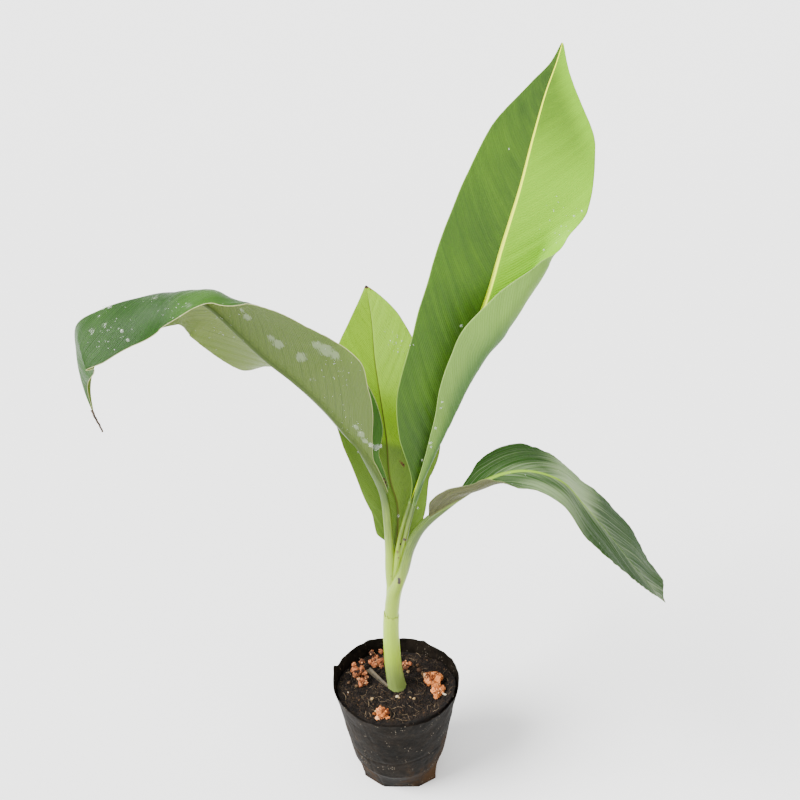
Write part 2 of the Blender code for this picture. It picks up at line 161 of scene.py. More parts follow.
# Leaves: cuts from stalk to tip, each with the midrib's place, the left half, the right half
# and how far the cut leans towards the tip for each millimetre of width. Each half: its width,
# its angle above the blade's flat at the midrib and the angle it turns through between two
# shares of its width. What a half doesn't say is as in FLAT_HALF
FLAT_HALF = (0.0, 0.0, 0.0, 0.0, 1.0)
UPRIGHT_LEAF = [
    ((13, -8, 295), (3, 40), (4, 50, 60, 0.2, 0.6), 0),
    ((17, -8, 309), (5, 30), (7, 45, 100, 0.2, 0.6), 0),
    ((31, -8, 353), (31, 15), (19, 35, 130, 0.15, 0.6), 0),
    ((41, -8, 387), (42, 12), (32, 10, 150, 0.12, 0.5), 0),
    ((54, -6, 427), (44.5, 10), (48.3, 5, 175, 0.1, 0.64), 0),
    ((61, -5, 449.5), (46, 9), (64.2, 2, 179, 0.135, 0.7), 0),
    ((68, -4, 472), (46, 8), (63.1, 0, 182, 0.24, 0.78), 0),
    ((76, 0, 503), (44.5, 6), (53, 0, 165, 0.5, 0.95), 0),
    ((81, 0, 522.5), (42.5, 5.5), (44, 0, 50, 0.61, 0.98), 0),
    ((86, 0, 542), (40, 5), (50.5, 0, 14, 0.6, 1.0), 0),
    ((94, 0, 581), (30, 5), (44, 0, 0, 0.6, 1.0), 0),
    ((101, 0, 611), (12, 5), (23, 0, 0, 0.6, 1.0), 0),
    ((106, 0, 627), (3.5, 5), (8, 0, 0, 0.6, 1.0), 0),
    ((109, 0, 639), (0.6, 5), (0.6, 0, 0, 0.6, 1.0), 0),
]
BACK_LEAF = [
    ((0, 6.2, STEM_TOP + 0.8), (3.5, 0), (3.5, 0), 0),
    ((0.4, 7.2, 243), (5, 10), (5, 10), 0),
    ((1, 10, 255), (18, 10), (15, 15), 0),
    ((1, 13.5, 280), (23, 15), (26, 20), 0),
    ((-5, 20, 301), (27, 20), (37, 20), 0),
    ((-8, 32, 332), (38, 20), (47, 20), 0),
    ((-13, 46, 363), (42, 15), (46, 15), 0),
    ((-18, 62, 393), (35, 10), (39, 10), 0),
    ((-21, 80, 422), (19, 10), (24, 10), 0),
    ((-24, 92, 438), (7, 10), (10, 10), 0),
    ((-26, 100, 446), (0.6,), (0.6,), 0),
]
ARCHING_LEAF = [
    ((-10, 0, 301), (4, 60), (5, 60), 0),
    ((-21, -2, 329), (5, 60), (9, 70), 0),
    ((-29.5, -3, 343.5), (15, 60), (25, 66), 0),
    ((-38.5, -4, 356), (28, 60, 6), (33, 60, 10), 0),
    ((-54, -6, 378), (46, 62, 8), (41, 50), 0),
    ((-66, -7, 392), (57, 67, 4), (43, 18), 0),
    ((-79, -8, 405), (52, 73), (43, -8), 0),
    ((-98, -10, 423), (50, 72, -10), (45, -38, -20), 0),
    ((-115, -10, 441), (50, 74, -36), (45, -45, -22), 0),
    ((-126, -10, 453), (51, 79, -70), (45, -48, -20), 0),
    ((-135, -10, 462), (51, 81, -108), (44, -50, -18), 0),
    ((-148, -10, 469.5), (52, 58, -122), (43, -48, -16), 0),
    ((-162, -10, 473), (47, 25, -90), (42, -45, -15), 0),
    ((-187, -12, 470), (43, -5, -65), (38, -50, -10), 0.1),
    ((-213, -16, 462.5), (45, -18, -48), (34, -46, -8), 0.2),
    ((-230, -20, 453), (41, -22, -40), (27, -42), 0.35),
    ((-233, -22, 433), (22, -22, -40), (14, -55), 0.7),
    ((-232, -24, 407), (5, -40, -30), (5, -60), 0.8),
    ((-228, -24, 386), (0.8, -60), (0.8, -70), 0.8),
]
DROOPING_LEAF = [
    ((29, -16, 287), (3, 60), (4, 70), 0),
    ((38, -17, 296), (4, 60), (16, 60, 15), 0),
    ((51, -20, 308), (5, 55), (20, 30, 65), 0),
    ((62, -22, 318), (11, 40), (24, -5, 100), 0),
    ((73, -24, 327), (26, 15), (27.5, -16, 98), 0),
    ((100, -28, 336), (37.5, 7), (27, -1), 0),
    ((128, -30, 328), (34.5, 5), (32.5, -7), 0),
    ((147, -30, 307), (34, 9), (40, -10), 0),
    ((163, -30, 288), (37, 15), (41, -6), 0),
    ((189, -30, 254), (41, 16), (28, -2), 0.05),
    ((211, -30, 227), (37, 8), (8, 0), 0.2),
    ((218, -30, 219), (26, 11), (3, 0), 0.4),
    ((223, -30, 213.5), (0.7,), (0.7,), 0.3),
]
THREAD = [
    (-228, -24.2, 386.5, 0.9),
    (-226, -25, 380, 0.8),
    (-223.5, -25.3, 373.5, 0.7),
    (-222, -25.6, 368.5, 0.6),
]

# Stalks: x, y, z, radius. Each starts inside the false stem, as the sheath that the stalk grows from
STALKS = {
    "upright": [
        (-2, -0.8, 212, 4.6),
        (1, -2.2, 230, 4.3),
        (3.3, -3.6, 246, 4.3),
        (6.5, -6, 266, 3.9),
        (12.9, -8, 294.5, 3.3),
        (17.5, -6.4, 310, 2.3),
        (27, -6.4, 341, 0.8),
    ],
    "arching": [
        (-3.0, 0.2, 205, 5.4),
        (-4.3, -0.3, 224, 5.2),
        (-5.0, -0.8, 246, 4.6),
        (-6.0, 0, 269, 4.6),
        (-10.2, 0, 300.5, 4.0),
        (-21.5, -2, 327.5, 2.8),
        (-31, -3.2, 344.5, 1.0),
    ],
    "drooping": [
        (-4.3, 0, 172, 6.2),
        (-3.5, -0.8, 188, 6.4),
        (-1.8, -3.0, 202, 6.2),
        (1.8, -7.2, 216, 5.2),
        (5.2, -10.6, 230, 5.2),
        (11.6, -12.6, 258, 5.1),
        (20, -14.6, 276, 4.4),
        (28.6, -16, 286.6, 3.8),
        (38.3, -17, 295, 2.6),
        (52, -20, 307.4, 1.0),
    ],
}


def curve(values, knots, reads, held):
    """A smooth curve through rows of values, read at places along the knots.
    A held one never overshoots between two rows."""
    values = np.asarray(values, float)
    spans = np.diff(knots)[:, None]
    slopes = np.diff(values, axis=0) / spans
    bends = np.empty_like(values)
    if held:
        bends[0], bends[-1] = slopes[0], slopes[-1]
        product = slopes[:-1] * slopes[1:]
        total = np.where(product > 0, slopes[:-1] + slopes[1:], 1.0)
        bends[1:-1] = np.where(product > 0, 2 * product / total, 0.0)
    else:
        share = spans[1:] / (spans[1:] + spans[:-1])
        bends[1:-1] = share * slopes[:-1] + (1 - share) * slopes[1:]
        bends[0] = 2 * slopes[0] - bends[1]
        bends[-1] = 2 * slopes[-1] - bends[-2]
    i = np.clip(np.searchsorted(knots, reads, side="right") - 1, 0, len(spans) - 1)
    span = spans[i]
    f = (reads - knots[i])[:, None] / span
    start = values[i] * (2 * f**3 - 3 * f**2 + 1) + bends[i] * span * (f**3 - 2 * f**2 + f)
    end = values[i + 1] * (3 * f**2 - 2 * f**3) + bends[i + 1] * span * (f**3 - f**2)
    return start + end


def unit(vectors):
    return vectors / np.linalg.norm(vectors, axis=-1, keepdims=True)


def lengths_along(points):
    steps = np.linalg.norm(np.diff(points, axis=0), axis=1)
    return np.concatenate([[0.0], np.cumsum(steps)])


def smooth_step(values, low, high):
    share = np.clip((values - low) / (high - low), 0, 1)
    return share * share * (3 - 2 * share)


def grain(points, size, seed):
    """Smooth noise from about -1 to 1 at each point, with lumps of about that size."""
    shift = Vector((seed * 7.31, seed * 3.17, seed * 5.93))
    flat = np.asarray(points, float).reshape(-1, 3) / size
    read = [noise.noise(Vector(point) + shift) for point in flat]
    return np.array(read).reshape(np.shape(points)[:-1])


def build_mesh(name, points, faces, slots=None, traits=None):
    """A mesh object from points in millimetres. Traits are named values, one for each point."""
    mesh = bpy.data.meshes.new(name)
    mesh.from_pydata((np.asarray(points, float) * MM).tolist(), [], faces)
    mesh.shade_smooth()
    if slots is not None:
        mesh.polygons.foreach_set("material_index", np.asarray(slots, np.int32))
    for trait, values in (traits or {}).items():
        store = mesh.attributes.new(trait, "FLOAT", "POINT")
        store.data.foreach_set("value", np.asarray(values, np.float32).ravel())
    mesh.update()
    piece = bpy.data.objects.new(name, mesh)
    bpy.context.scene.collection.objects.link(piece)
    return piece


def finish_piece(piece, materials, nodes=()):
    """Gives a piece its materials and its body, and hides the solid nodes that it stands for."""
    mesh = piece.data
    sides = np.empty(len(mesh.polygons), np.int32)
    mesh.polygons.foreach_get("material_index", sides)
    mesh.materials.clear()
    for material in materials:
        mesh.materials.append(material)
    if len(materials) > 1:
        mesh.polygons.foreach_set("material_index", sides)
    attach(piece, "root")
    if nodes:
        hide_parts(*nodes)


def grid_faces(rows, columns, start=0, closed=False, flip=False, looped=False):
    """Quads between rows of points. A closed grid joins its last column to its first one, and
    a looped grid its last row to its first one."""
    i = np.arange(rows if looped else rows - 1)[:, None]
    j = np.arange(columns if closed else columns - 1)[None, :]
    near, far = start + i * columns, start + (i + 1) % rows * columns
    k = (j + 1) % columns
    corners = [near + j, near + k, far + k, far + j]
    if flip:
        corners.reverse()
    return np.stack(corners, axis=-1).reshape(-1, 4).tolist()


def tube_faces(rows, columns):
    """A closed grid with a face over each end."""
    last = (rows - 1) * columns
    ends = [list(range(columns))[::-1], list(range(last, last + columns))]
    return grid_faces(rows, columns, closed=True) + ends


def tube_mesh(name, points, traits=None):
    """A closed tube through rings of points. Its traits are spread over the rings."""
    rings = points.shape[:2]
    spread = {trait: np.broadcast_to(values, rings) for trait, values in (traits or {}).items()}
    return build_mesh(name, points.reshape(-1, 3), tube_faces(*rings), traits=spread)


def run_along(path, rows):
    """A smooth run along a path of x, y, z and what else it holds: the length, the middle,
    the rest and the direction at each row."""
    path = np.asarray(path, float)
    knots = lengths_along(path[:, :3])
    reads = np.linspace(0, knots[-1], rows)
    centre = curve(path[:, :3], knots, reads, False)
    tangent = unit(np.gradient(centre, reads, axis=0))
    return reads, centre, curve(path[:, 3:], knots, reads, True), tangent


def rings_along(centre, reach, turn, first, second):
    """Rings round middles. Each starts in the first direction and turns towards the second."""
    forward = (reach * np.cos(turn))[..., None] * first[:, None, :]
    sideways = (reach * np.sin(turn))[..., None] * second[:, None, :]
    return centre[:, None, :] + forward + sideways


def full_turn(count):
    return np.linspace(0, math.tau, count, endpoint=False)


def add_node(tree, kind, settings, sockets):
    """A node with its settings, and with its sockets set to values or linked to other sockets."""
    made = tree.nodes.new(kind)
    for key, value in (settings or {}).items():
        setattr(made, key, value)
    for key, value in (sockets or {}).items():
        if isinstance(value, bpy.types.NodeSocket):
            tree.links.new(value, made.inputs[key])
        else:
            made.inputs[key].default_value = value
    return made


# Shader sheets

class Wire:
    """One output of a shader node, which takes part in Python sums."""

    def __init__(self, sheet, socket):
        self.sheet = sheet
        self.socket = socket

    def __add__(self, other):
        return self.sheet.maths("ADD", self, other)

    def __radd__(self, other):
        return self.sheet.maths("ADD", other, self)

    def __sub__(self, other):
        return self.sheet.maths("SUBTRACT", self, other)

    def __rsub__(self, other):
        return self.sheet.maths("SUBTRACT", other, self)

    def __mul__(self, other):
        return self.sheet.maths("MULTIPLY", self, other)

    def __rmul__(self, other):
        return self.sheet.maths("MULTIPLY", other, self)

    def __truediv__(self, other):
        return self.sheet.maths("DIVIDE", self, other)

    def __pow__(self, other):
        return self.sheet.maths("POWER", self, other)


class Sheet:
    """A material being drawn up. Every node that it needs comes from node()."""

    def __init__(self, name):
        self.material = bpy.data.materials.new(name)
        self.material.use_nodes = True
        self.tree = self.material.node_tree
        self.tree.nodes.clear()

    def node(self, kind, settings=None, sockets=None, out=0):
        given = (sockets or {}).items()
        plain = {key: value.socket if isinstance(value, Wire) else value for key, value in given}
        made = add_node(self.tree, kind, settings, plain)
        return Wire(self, made.outputs[out]) if made.outputs else made

    def maths(self, operation, first, second=0.0):
        return self.node("ShaderNodeMath", {"operation": operation}, {0: first, 1: second})

    def sine(self, value):
        return self.maths("SINE", value)

    def trait(self, name):
        return self.node("ShaderNodeAttribute", {"attribute_name": name}, out="Fac")

    def object_place(self):
        return self.node("ShaderNodeTexCoord", out="Object")

    def height(self):
        return self.node("ShaderNodeSeparateXYZ", sockets={0: self.object_place()}, out="Z")

    def vector(self, x, y, z=0.0):
        return self.node("ShaderNodeCombineXYZ", sockets={0: x, 1: y, 2: z})

    def stretch(self, place, by):
        return self.node("ShaderNodeVectorMath", {"operation": "MULTIPLY"}, {0: place, 1: by})

    def noise(self, place, scale=1.0, detail=2.0, roughness=0.5):
        sockets = {"Vector": place, "Scale": scale, "Detail": detail, "Roughness": roughness}
        return self.node("ShaderNodeTexNoise", sockets=sockets)

    def cells(self, place, scale, out="Distance"):
        return self.node("ShaderNodeTexVoronoi", sockets={"Vector": place, "Scale": scale}, out=out)

    def window(self, value, low, high):
        """0 below low, 1 above high and a smooth slope between. Low may be the greater one."""
        sockets = {"Value": value, "From Min": low, "From Max": high}
        return self.node("ShaderNodeMapRange", {"interpolation_type": "SMOOTHSTEP"}, sockets)

    def blend(self, share, first, second):
        """A colour that goes from the first to the second as the share goes from 0 to 1."""
        return self.node("ShaderNodeMix", {"data_type": "RGBA"}, {0: share, 6: first, 7: second}, out=2)

    def stain(self, base, colour, value, low, high, share=None):
        """Lays a colour over the base as a value goes from low to high, up to a share of it."""
        cover = self.window(value, low, high)
        return self.blend(cover if share is None else cover * share, base, colour)

    def bump(self, height, distance, strength=1.0, below=None):
        sockets = {"Height": height, "Distance": distance, "Strength": strength}
        if below is not None:
            sockets["Normal"] = below
        return self.node("ShaderNodeBump", sockets=sockets)

    def surface(self, **sockets):
        """Ends the sheet in a Principled shader. Underscores stand for spaces in socket names."""
        named = {key.replace("_", " "): value for key, value in sockets.items()}
        shader = self.node("ShaderNodeBsdfPrincipled", sockets=named)
        self.node("ShaderNodeOutputMaterial", sockets={"Surface": shader})
        return self.material


def ink(red, green, blue):
    """A colour given in screen values from 0 to 255, as the linear colour that a shader takes."""
    shares = [value / 255 for value in (red, green, blue)]
    linear = [s / 12.92 if s <= 0.04045 else ((s + 0.055) / 1.055) ** 2.4 for s in shares]
    return (*linear, 1.0)


# Leaves

FINE_STEPS = 240
OUTWARD_EASE = 1.3
READ_STEP = 0.5
BLADE_THICKNESS = 0.7
MARGIN_THICKNESS = 0.35
MARGIN_ROUND = 0.18
CHANNEL_SHARE = 0.3
KEEL_SHARE = 0.75
WAVE_LENGTH = 26.0


class Leaf:
    """A leaf blade as a fine grid from its left margin to its right one, with its traits."""

    def __init__(self, cuts, side, rows, columns, rib, slant, pleat, wave, seed):
        self.side = np.array(side, float)
        self.middles = np.array([cut[0] for cut in cuts], float)
        full = [[half + FLAT_HALF[len(half):] for half in cut[1:3]] for cut in cuts]
        self.forms = [(*left, *right, cut[3]) for (left, right), cut in zip(full, cuts)]
        self.knots = lengths_along(self.middles)
        self.length = self.knots[-1]
        self.reads = np.linspace(0, self.length, rows)
        self.left_picks, self.right_picks = [self.picks(count) for count in columns]
        self.rib_half = np.interp(self.reads, (0, self.length), rib)[:, None]
        self.slant = slant
        self.pleat = pleat
        self.wave = wave
        self.seed = seed
        self.lay_out()

    @staticmethod
    def picks(columns):
        """Steps from the midrib to the margin, closer together beside the midrib."""
        shares = np.linspace(0, 1, columns + 1) ** OUTWARD_EASE
        return np.unique(np.round(shares * FINE_STEPS).astype(int))

    @staticmethod
    def blade_half(forms, sign, picks, centre, across, normal, ahead):
        """One half of the blade's middle surface, worked out step by step from the midrib."""
        width, rise, curl, bend_from, bend_to = [forms[:, k][:, None] for k in range(5)]
        share = np.linspace(0, 1, FINE_STEPS + 1)[None, :]
        angle = np.radians(rise + curl * np.clip((share - bend_from) / (bend_to - bend_from), 0, 1))
        middle = (angle[:, 1:] + angle[:, :-1]) / 2
        step = width / FINE_STEPS
        zero = np.zeros_like(width)
        out = np.concatenate([zero, np.cumsum(np.cos(middle) * step, axis=1)], axis=1)[:, picks]
        lift = np.concatenate([zero, np.cumsum(np.sin(middle) * step, axis=1)], axis=1)[:, picks]
        places = centre[:, None, :] + sign * out[..., None] * across[:, None, :]
        places = places + lift[..., None] * normal[:, None, :]
        return places + (width * share[:, picks])[..., None] * ahead[:, None, :]

    def middle_grid(self, reads):
        """The middle surface in rows across the blade, and the form of each row."""
        centre, ahead, behind = [
            curve(self.middles, self.knots, reads + step, False) for step in (0, READ_STEP, -READ_STEP)
        ]
        tangent = unit(ahead - behind)
        across = unit(self.side - tangent * (tangent @ self.side)[:, None])
        forms = curve(self.forms, self.knots, reads, True)
        guides = (centre, across, np.cross(across, tangent), forms[:, 10:] * tangent)
        left = self.blade_half(forms[:, :5], -1, self.left_picks, *guides)
        right = self.blade_half(forms[:, 5:10], 1, self.right_picks, *guides)
        return np.concatenate([left[:, ::-1], right[:, 1:]], axis=1), forms

    def lay_out(self):
        """Works out the grid, its normals and what every point knows about its place on the leaf."""
        grid, forms = self.middle_grid(self.reads)
        down = self.middle_grid(self.reads + READ_STEP)[0] - self.middle_grid(self.reads - READ_STEP)[0]
        self.normals = unit(np.cross(np.gradient(grid, axis=1), down))
        shares = np.concatenate([-self.left_picks[::-1], self.right_picks[1:]]) / FINE_STEPS
        self.hand = np.broadcast_to(np.sign(shares), grid.shape[:2])
        self.share = np.broadcast_to(np.abs(shares), grid.shape[:2])
        width = np.where(self.hand < 0, forms[:, 0][:, None], forms[:, 5][:, None])
        self.out = self.share * width
        self.along = np.broadcast_to(self.reads[:, None], grid.shape[:2])
        self.run = self.along / self.length
        slant = np.where(self.hand < 0, self.slant[0], self.slant[1])
        self.vein = self.along - self.out * slant * (0.75 + 0.35 * self.share)
        self.rib_share = np.clip(1 - self.out / self.rib_half, 0, 1)
        self.grid = grid + self.normals * self.relief(width)[..., None]

    def relief(self, width):
        """Height of pleats between the side veins and of waves along the margin."""
        fade = smooth_step(self.share, 0.02, 0.2) * smooth_step(width, 2, 14)
        pleats = np.sin(self.vein / 1.15) + 0.7 * np.sin(self.vein / 0.71 + 1.0)
        bands = np.sin(self.vein / 3.1 + 2.0 * np.sin(self.vein / 11.0))
        place = np.stack([self.along, self.hand * 40 + self.out * 0.3], axis=-1)
        place = np.concatenate([place, np.full(place.shape[:2] + (1,), self.seed)], axis=-1)
        waves = grain(place, WAVE_LENGTH, self.seed) * self.share**3
        return fade * (self.pleat * (0.35 * pleats + bands) + self.wave * waves)

    def traits(self, tone):
        dry = np.zeros_like(self.out)
        return {
            "share": self.share,
            "hand": self.hand,
            "along": self.run,
            "vein": self.vein,
            "rib": self.rib_share,
            # On the blades the tone lays on painted light, shade and sheen
            "tone": tone,
            "wet": dry,
            "scar": dry,
        }

    def build(self, name, tone):
        """The blade as a closed solid: a channel over the midrib, a keel under it, a round margin."""
        half_thick = np.interp(self.share, (0, 1), (BLADE_THICKNESS / 2, MARGIN_THICKNESS / 2))
        channel = CHANNEL_SHARE * self.rib_half * smooth_step(self.rib_share, 0, 0.9)
        keel = KEEL_SHARE * self.rib_half * np.sqrt(np.clip(1 - (1 - self.rib_share) ** 2, 0, 1))
        top = self.grid + self.normals * (half_thick - channel)[..., None]
        under = self.grid - self.normals * (half_thick + keel)[..., None]
        rows, columns = self.share.shape
        count = rows * columns
        order = np.arange(count).reshape(rows, columns)
        index = np.concatenate([order[0], order[1:, -1], order[-1, -2::-1], order[-2:0:-1, 0]])
        edge = self.grid.reshape(-1, 3)[index] + self.off_the_blade(index) * MARGIN_ROUND
        points = np.concatenate([top.reshape(-1, 3), under.reshape(-1, 3), edge])
        upper, lower = grid_faces(rows, columns), grid_faces(rows, columns, start=count, flip=True)
        a, b = index, np.roll(index, -1)
        c = 2 * count + np.arange(len(index))
        d = np.roll(c, -1)
        rim = np.stack([[a, c, d, b], [c, a + count, b + count, d]]).transpose(2, 0, 1)
        faces = upper + lower + rim.reshape(-1, 4).tolist()
        slots = [0] * len(upper) + [1] * len(lower) + [0, 1] * len(index)
        traits = {}
        for key, values in self.traits(tone).items():
            flat = np.ravel(values)
            traits[key] = np.concatenate([flat, flat, flat[index]])
        return build_mesh(name, points, faces, slots, traits)

    def off_the_blade(self, index):
        """Directions that lead off the blade at points of its border."""
        outward = np.gradient(self.grid, axis=1) * self.hand[..., None]
        down = np.gradient(self.grid, axis=0)
        outward[0] = -down[0]
        outward[-1] = down[-1]
        return unit(outward.reshape(-1, 3)[index])


# Leaf finishes

SPOT_INK = ink(62, 66, 24)
WET_SHEEN_INK = ink(156, 168, 144)
WET_ROUGHNESS = 0.08


def leaf_shade(name, inks, gloss, shine, veins, pleats, streaks=0.2, spots=0.0, rib_from=0.05,
               rib_until=1.0):
    """One side of a blade: tone and streaks along the side veins, a midrib, a light margin,
    wet patches that shine and carry a painted sheen, and dark scars."""
    deep, fresh, rib_ink, vein_ink, margin_ink = [ink(*shades) for shades in inks]
    sheet = Sheet(name)
    vein, share, hand = sheet.trait("vein"), sheet.trait("share"), sheet.trait("hand")
    place = sheet.object_place()
    streak = sheet.noise(sheet.vector(vein / 1.1, share * 1.6, hand), detail=3.0, roughness=0.6)
    band = sheet.noise(sheet.vector(vein / 7.0, share * 1.2, hand * 3.0), detail=1.0)
    cloud = sheet.noise(place, scale=22.0, detail=2.0)
    fleck = sheet.noise(place, scale=420.0, detail=2.0, roughness=0.7)
    mix = sheet.trait("tone") + (streak - 0.5) * streaks + (band - 0.5) * streaks * 1.5
    mix = mix + (cloud - 0.5) * 0.2 + (fleck - 0.5) * 0.06
    # The tone, which carries painted light, shade and sheen, goes from the deep green to the fresh one
    base = sheet.stain(deep, fresh, mix, 0.0, 1.0)
    beat = sheet.sine(vein / 1.4 + 2.4 * band + 1.6 * streak) * 0.5 + 0.5
    line = beat**10.0 * sheet.window(share, 1.0, 0.4) * sheet.window(band, 0.25, 0.65) * veins
    base = sheet.blend(line, base, vein_ink)
    if spots:
        base = sheet.stain(base, SPOT_INK, sheet.noise(place, scale=900.0, detail=0.0), 0.68, 0.78, spots)
    rib = sheet.window(sheet.trait("rib"), rib_from, rib_from + 0.35)
    rib = rib * (1.0 - 0.75 * sheet.window(sheet.trait("along"), rib_until, rib_until + 0.15))
    base = sheet.blend(rib, base, rib_ink)
    base = sheet.stain(base, margin_ink, share, 0.988, 1.0, 0.8)
    puddle = sheet.noise(sheet.vector(vein / 1.5, share * 16.0, hand * 2.0), detail=3.0, roughness=0.6)
    wet = sheet.window(sheet.trait("wet") + (puddle - 0.5) * 1.5, 0.5, 0.6)
    # Wet patches: their pale ink is a painted sheen, while their low roughness and rim are real
    base = sheet.blend(wet * 0.28, base, WET_SHEEN_INK)
    scar = sheet.trait("scar") + (sheet.noise(place, scale=700.0) - 0.5) * 0.35
    base = sheet.stain(base, ink(94, 58, 26), scar, 0.3, 0.45)
    base = sheet.stain(base, ink(22, 14, 10), scar, 0.5, 0.66)
    dull = gloss + (streak - 0.5) * 0.16 + (cloud - 0.5) * 0.14
    ridges = sheet.sine(vein * 2.7) * 0.5 + sheet.sine(vein * 7.1) * 0.22 + streak * 0.9
    ridges = ridges * sheet.window(share, 0.0, 0.08) * (1.0 - wet)
    coarse = sheet.bump(ridges, 0.00016 * pleats)
    fine = sheet.bump(fleck, 0.00008, below=coarse)
    return sheet.surface(
        Base_Color=base,
        Roughness=sheet.window(wet, 1.0, 0.0) * dull + wet * WET_ROUGHNESS,
        Normal=sheet.bump(wet, 0.0004, below=fine),
        Specular_IOR_Level=shine,
        Subsurface_Weight=0.15,
        Subsurface_Radius=(0.7, 1.0, 0.25),
        Subsurface_Scale=0.0015,
    )


# Stems and stalks

STALK_TURNS = 56
STALK_ROWS = 150
STALK_RIB = 0.05
STALK_FULL_TONE = 0.85
GROOVE_HALF = math.radians(62)
GROOVE_DEPTH = 0.72
GROOVE_EDGE = 1.3
STEM_BOTTOM = STEM_FOOT - 2.5
STEM_TURNS = 96
CORE_ROWS = 170
CORE_TOP = STEM_TOP - 6.0
CORE_CLOSING = 14.0
CORE_RADIUS = 6.1
CORE_INSET = 0.35
SHEATH_ROWS = 150
SHEATH_RIM = 177.5
SHEATH_RIM_TILT = 1.2
SHEATH_RIM_TEETH = 3.2
SHEATH_NARROW = (170, 176)
SHEATH_RIM_RADIUS = 6.7
SHEATH_THICKNESS = 0.6
SHEATH_SEED = 4.0


def stalk_piece(name, path, side, groove_from, groove_full):
    """A leaf stalk: round below, with a groove that deepens above and faces the leaf's upper side."""
    reads, centre, radius, tangent = run_along(path, STALK_ROWS)
    side = np.array(side, float)
    across = unit(side - tangent * (tangent @ side)[:, None])
    turn = full_turn(STALK_TURNS) - math.pi
    notch = np.cos(np.clip(turn / GROOVE_HALF, -1, 1) * math.pi / 2).clip(0) ** GROOVE_EDGE
    groove = smooth_step(reads, groove_from, groove_full)[:, None] * notch
    reach = radius * (1 - GROOVE_DEPTH * groove) + STALK_RIB * np.sin(17 * turn)
    tone = smooth_step(reads, 0, STALK_FULL_TONE * reads[-1])[:, None]
    traits = {"along": reads[:, None], "around": turn * 4.5, "lip": groove, "tone": tone, "scar": 0}
    return tube_mesh(name, rings_along(centre, reach, turn, np.cross(across, tangent), across), traits)


def stem_rows(heights):
    """Middle x, middle y and radius of the false stem at each height."""
    knots = np.array([cut[0] for cut in STEM], float)
    inside = np.clip(heights, STEM_FOOT, STEM_TOP)
    return curve([cut[1:] for cut in STEM], knots, inside, True)


def stem_traits(z, turn, lip):
    return {
        "along": z - STEM_BOTTOM,
        "around": np.broadcast_to(turn * 7.0, z.shape),
        "lip": lip,
        "tone": smooth_step(z, STEM_FOOT, 150),
        "scar": np.zeros_like(z),
    }


def stem_piece():
    """The rolled sheaths inside, which end among the leaf stalks."""
    heights = np.linspace(STEM_BOTTOM, CORE_TOP, CORE_ROWS)
    rows = stem_rows(heights)
    turn = full_turn(STEM_TURNS)
    radius = np.minimum(rows[:, 2], CORE_RADIUS) - CORE_INSET
    radius *= np.sqrt(np.clip((CORE_TOP + 0.3 - heights) / CORE_CLOSING, 0.02, 1))
    reach = radius[:, None] + 0.06 * np.sin(13 * turn) + 0.03 * np.sin(31 * turn + 1.0)
    z = np.broadcast_to(heights[:, None], reach.shape)
    x = rows[:, :1] + reach * np.cos(turn)
    y = rows[:, 1:2] + reach * np.sin(turn)
    return tube_mesh("stem_core", np.stack([x, y, z], axis=-1), stem_traits(z, turn, 0))


def sheath_piece():
    """The oldest sheath, round the stem from the soil up to an uneven papery rim."""
    turn = full_turn(STEM_TURNS)
    edge = [noise.noise(Vector((math.cos(t) * 2.2, math.sin(t) * 2.2, SHEATH_SEED))) for t in turn]
    rim = SHEATH_RIM + SHEATH_RIM_TEETH * np.array(edge) + SHEATH_RIM_TILT * np.cos(turn - 2.6)
    heights = STEM_BOTTOM + (rim - STEM_BOTTOM) * np.linspace(0, 1, SHEATH_ROWS)[:, None]
    rows = stem_rows(heights.ravel()).reshape(heights.shape + (3,))
    radius = np.where(heights > SHEATH_NARROW[1], SHEATH_RIM_RADIUS, rows[..., 2])
    radius = radius + 0.05 * np.sin(11 * turn) + 0.04 * np.sin(29 * turn)
    radius += 0.1 * smooth_step(heights, 174, 180)
    thin = SHEATH_THICKNESS * (1 - 0.75 * np.interp(heights, SHEATH_NARROW, (0, 1)))
    shells = []
    for reach in (radius, radius - thin):
        x = rows[..., 0] + reach * np.cos(turn)
        y = rows[..., 1] + reach * np.sin(turn)
        shells.append(np.stack([x, y, heights], axis=-1))
    points = np.concatenate([shells[0], shells[1][::-1]])
    z = points[..., 2]
    traits = stem_traits(z, turn, smooth_step(z, rim - 2.2, rim - 0.2))
    faces = grid_faces(len(points), STEM_TURNS, closed=True, looped=True)
    return build_mesh("old_sheath", points.reshape(-1, 3), faces, traits=traits)


def stem_shade(name, low, high, lip_ink):
    """Pale green sheath with fine lengthwise streaks, brown marks and a papery lip."""
    sheet = Sheet(name)
    along, around = sheet.trait("along"), sheet.trait("around")
    place = sheet.object_place()
    streak = sheet.noise(sheet.vector(around * 1.3, along / 30.0), detail=3.0, roughness=0.65)
    fine = sheet.noise(sheet.vector(around * 4.0, along / 9.0, 5.0), detail=2.0)
    cloud = sheet.noise(place, scale=60.0, detail=2.0)
    mix = sheet.trait("tone") + (streak - 0.5) * 0.9 + (cloud - 0.5) * 0.5 + (fine - 0.5) * 0.3
    base = sheet.stain(low, high, mix, 0.0, 1.0)
    base = sheet.stain(base, lip_ink, sheet.trait("lip"), 0.2, 0.9, 0.35)
    base = sheet.stain(base, ink(90, 78, 36), sheet.noise(place, scale=520.0, detail=1.0), 0.72, 0.8, 0.35)
    scar = sheet.trait("scar") + (sheet.noise(place, scale=800.0) - 0.5) * 0.4
    base = sheet.stain(base, ink(98, 78, 36), scar, 0.25, 0.5)
    base = sheet.stain(base, ink(26, 19, 14), scar, 0.52, 0.7)
    ridges = sheet.bump(streak + fine * 0.4, 0.00022)
    return sheet.surface(
        Base_Color=base,
        Roughness=0.36 + (streak - 0.5) * 0.2,
        Normal=ridges,
        Specular_IOR_Level=0.45,
        Subsurface_Weight=0.25,
        Subsurface_Radius=(0.8, 1.0, 0.3),
        Subsurface_Scale=0.002,
    )


# Grow bag

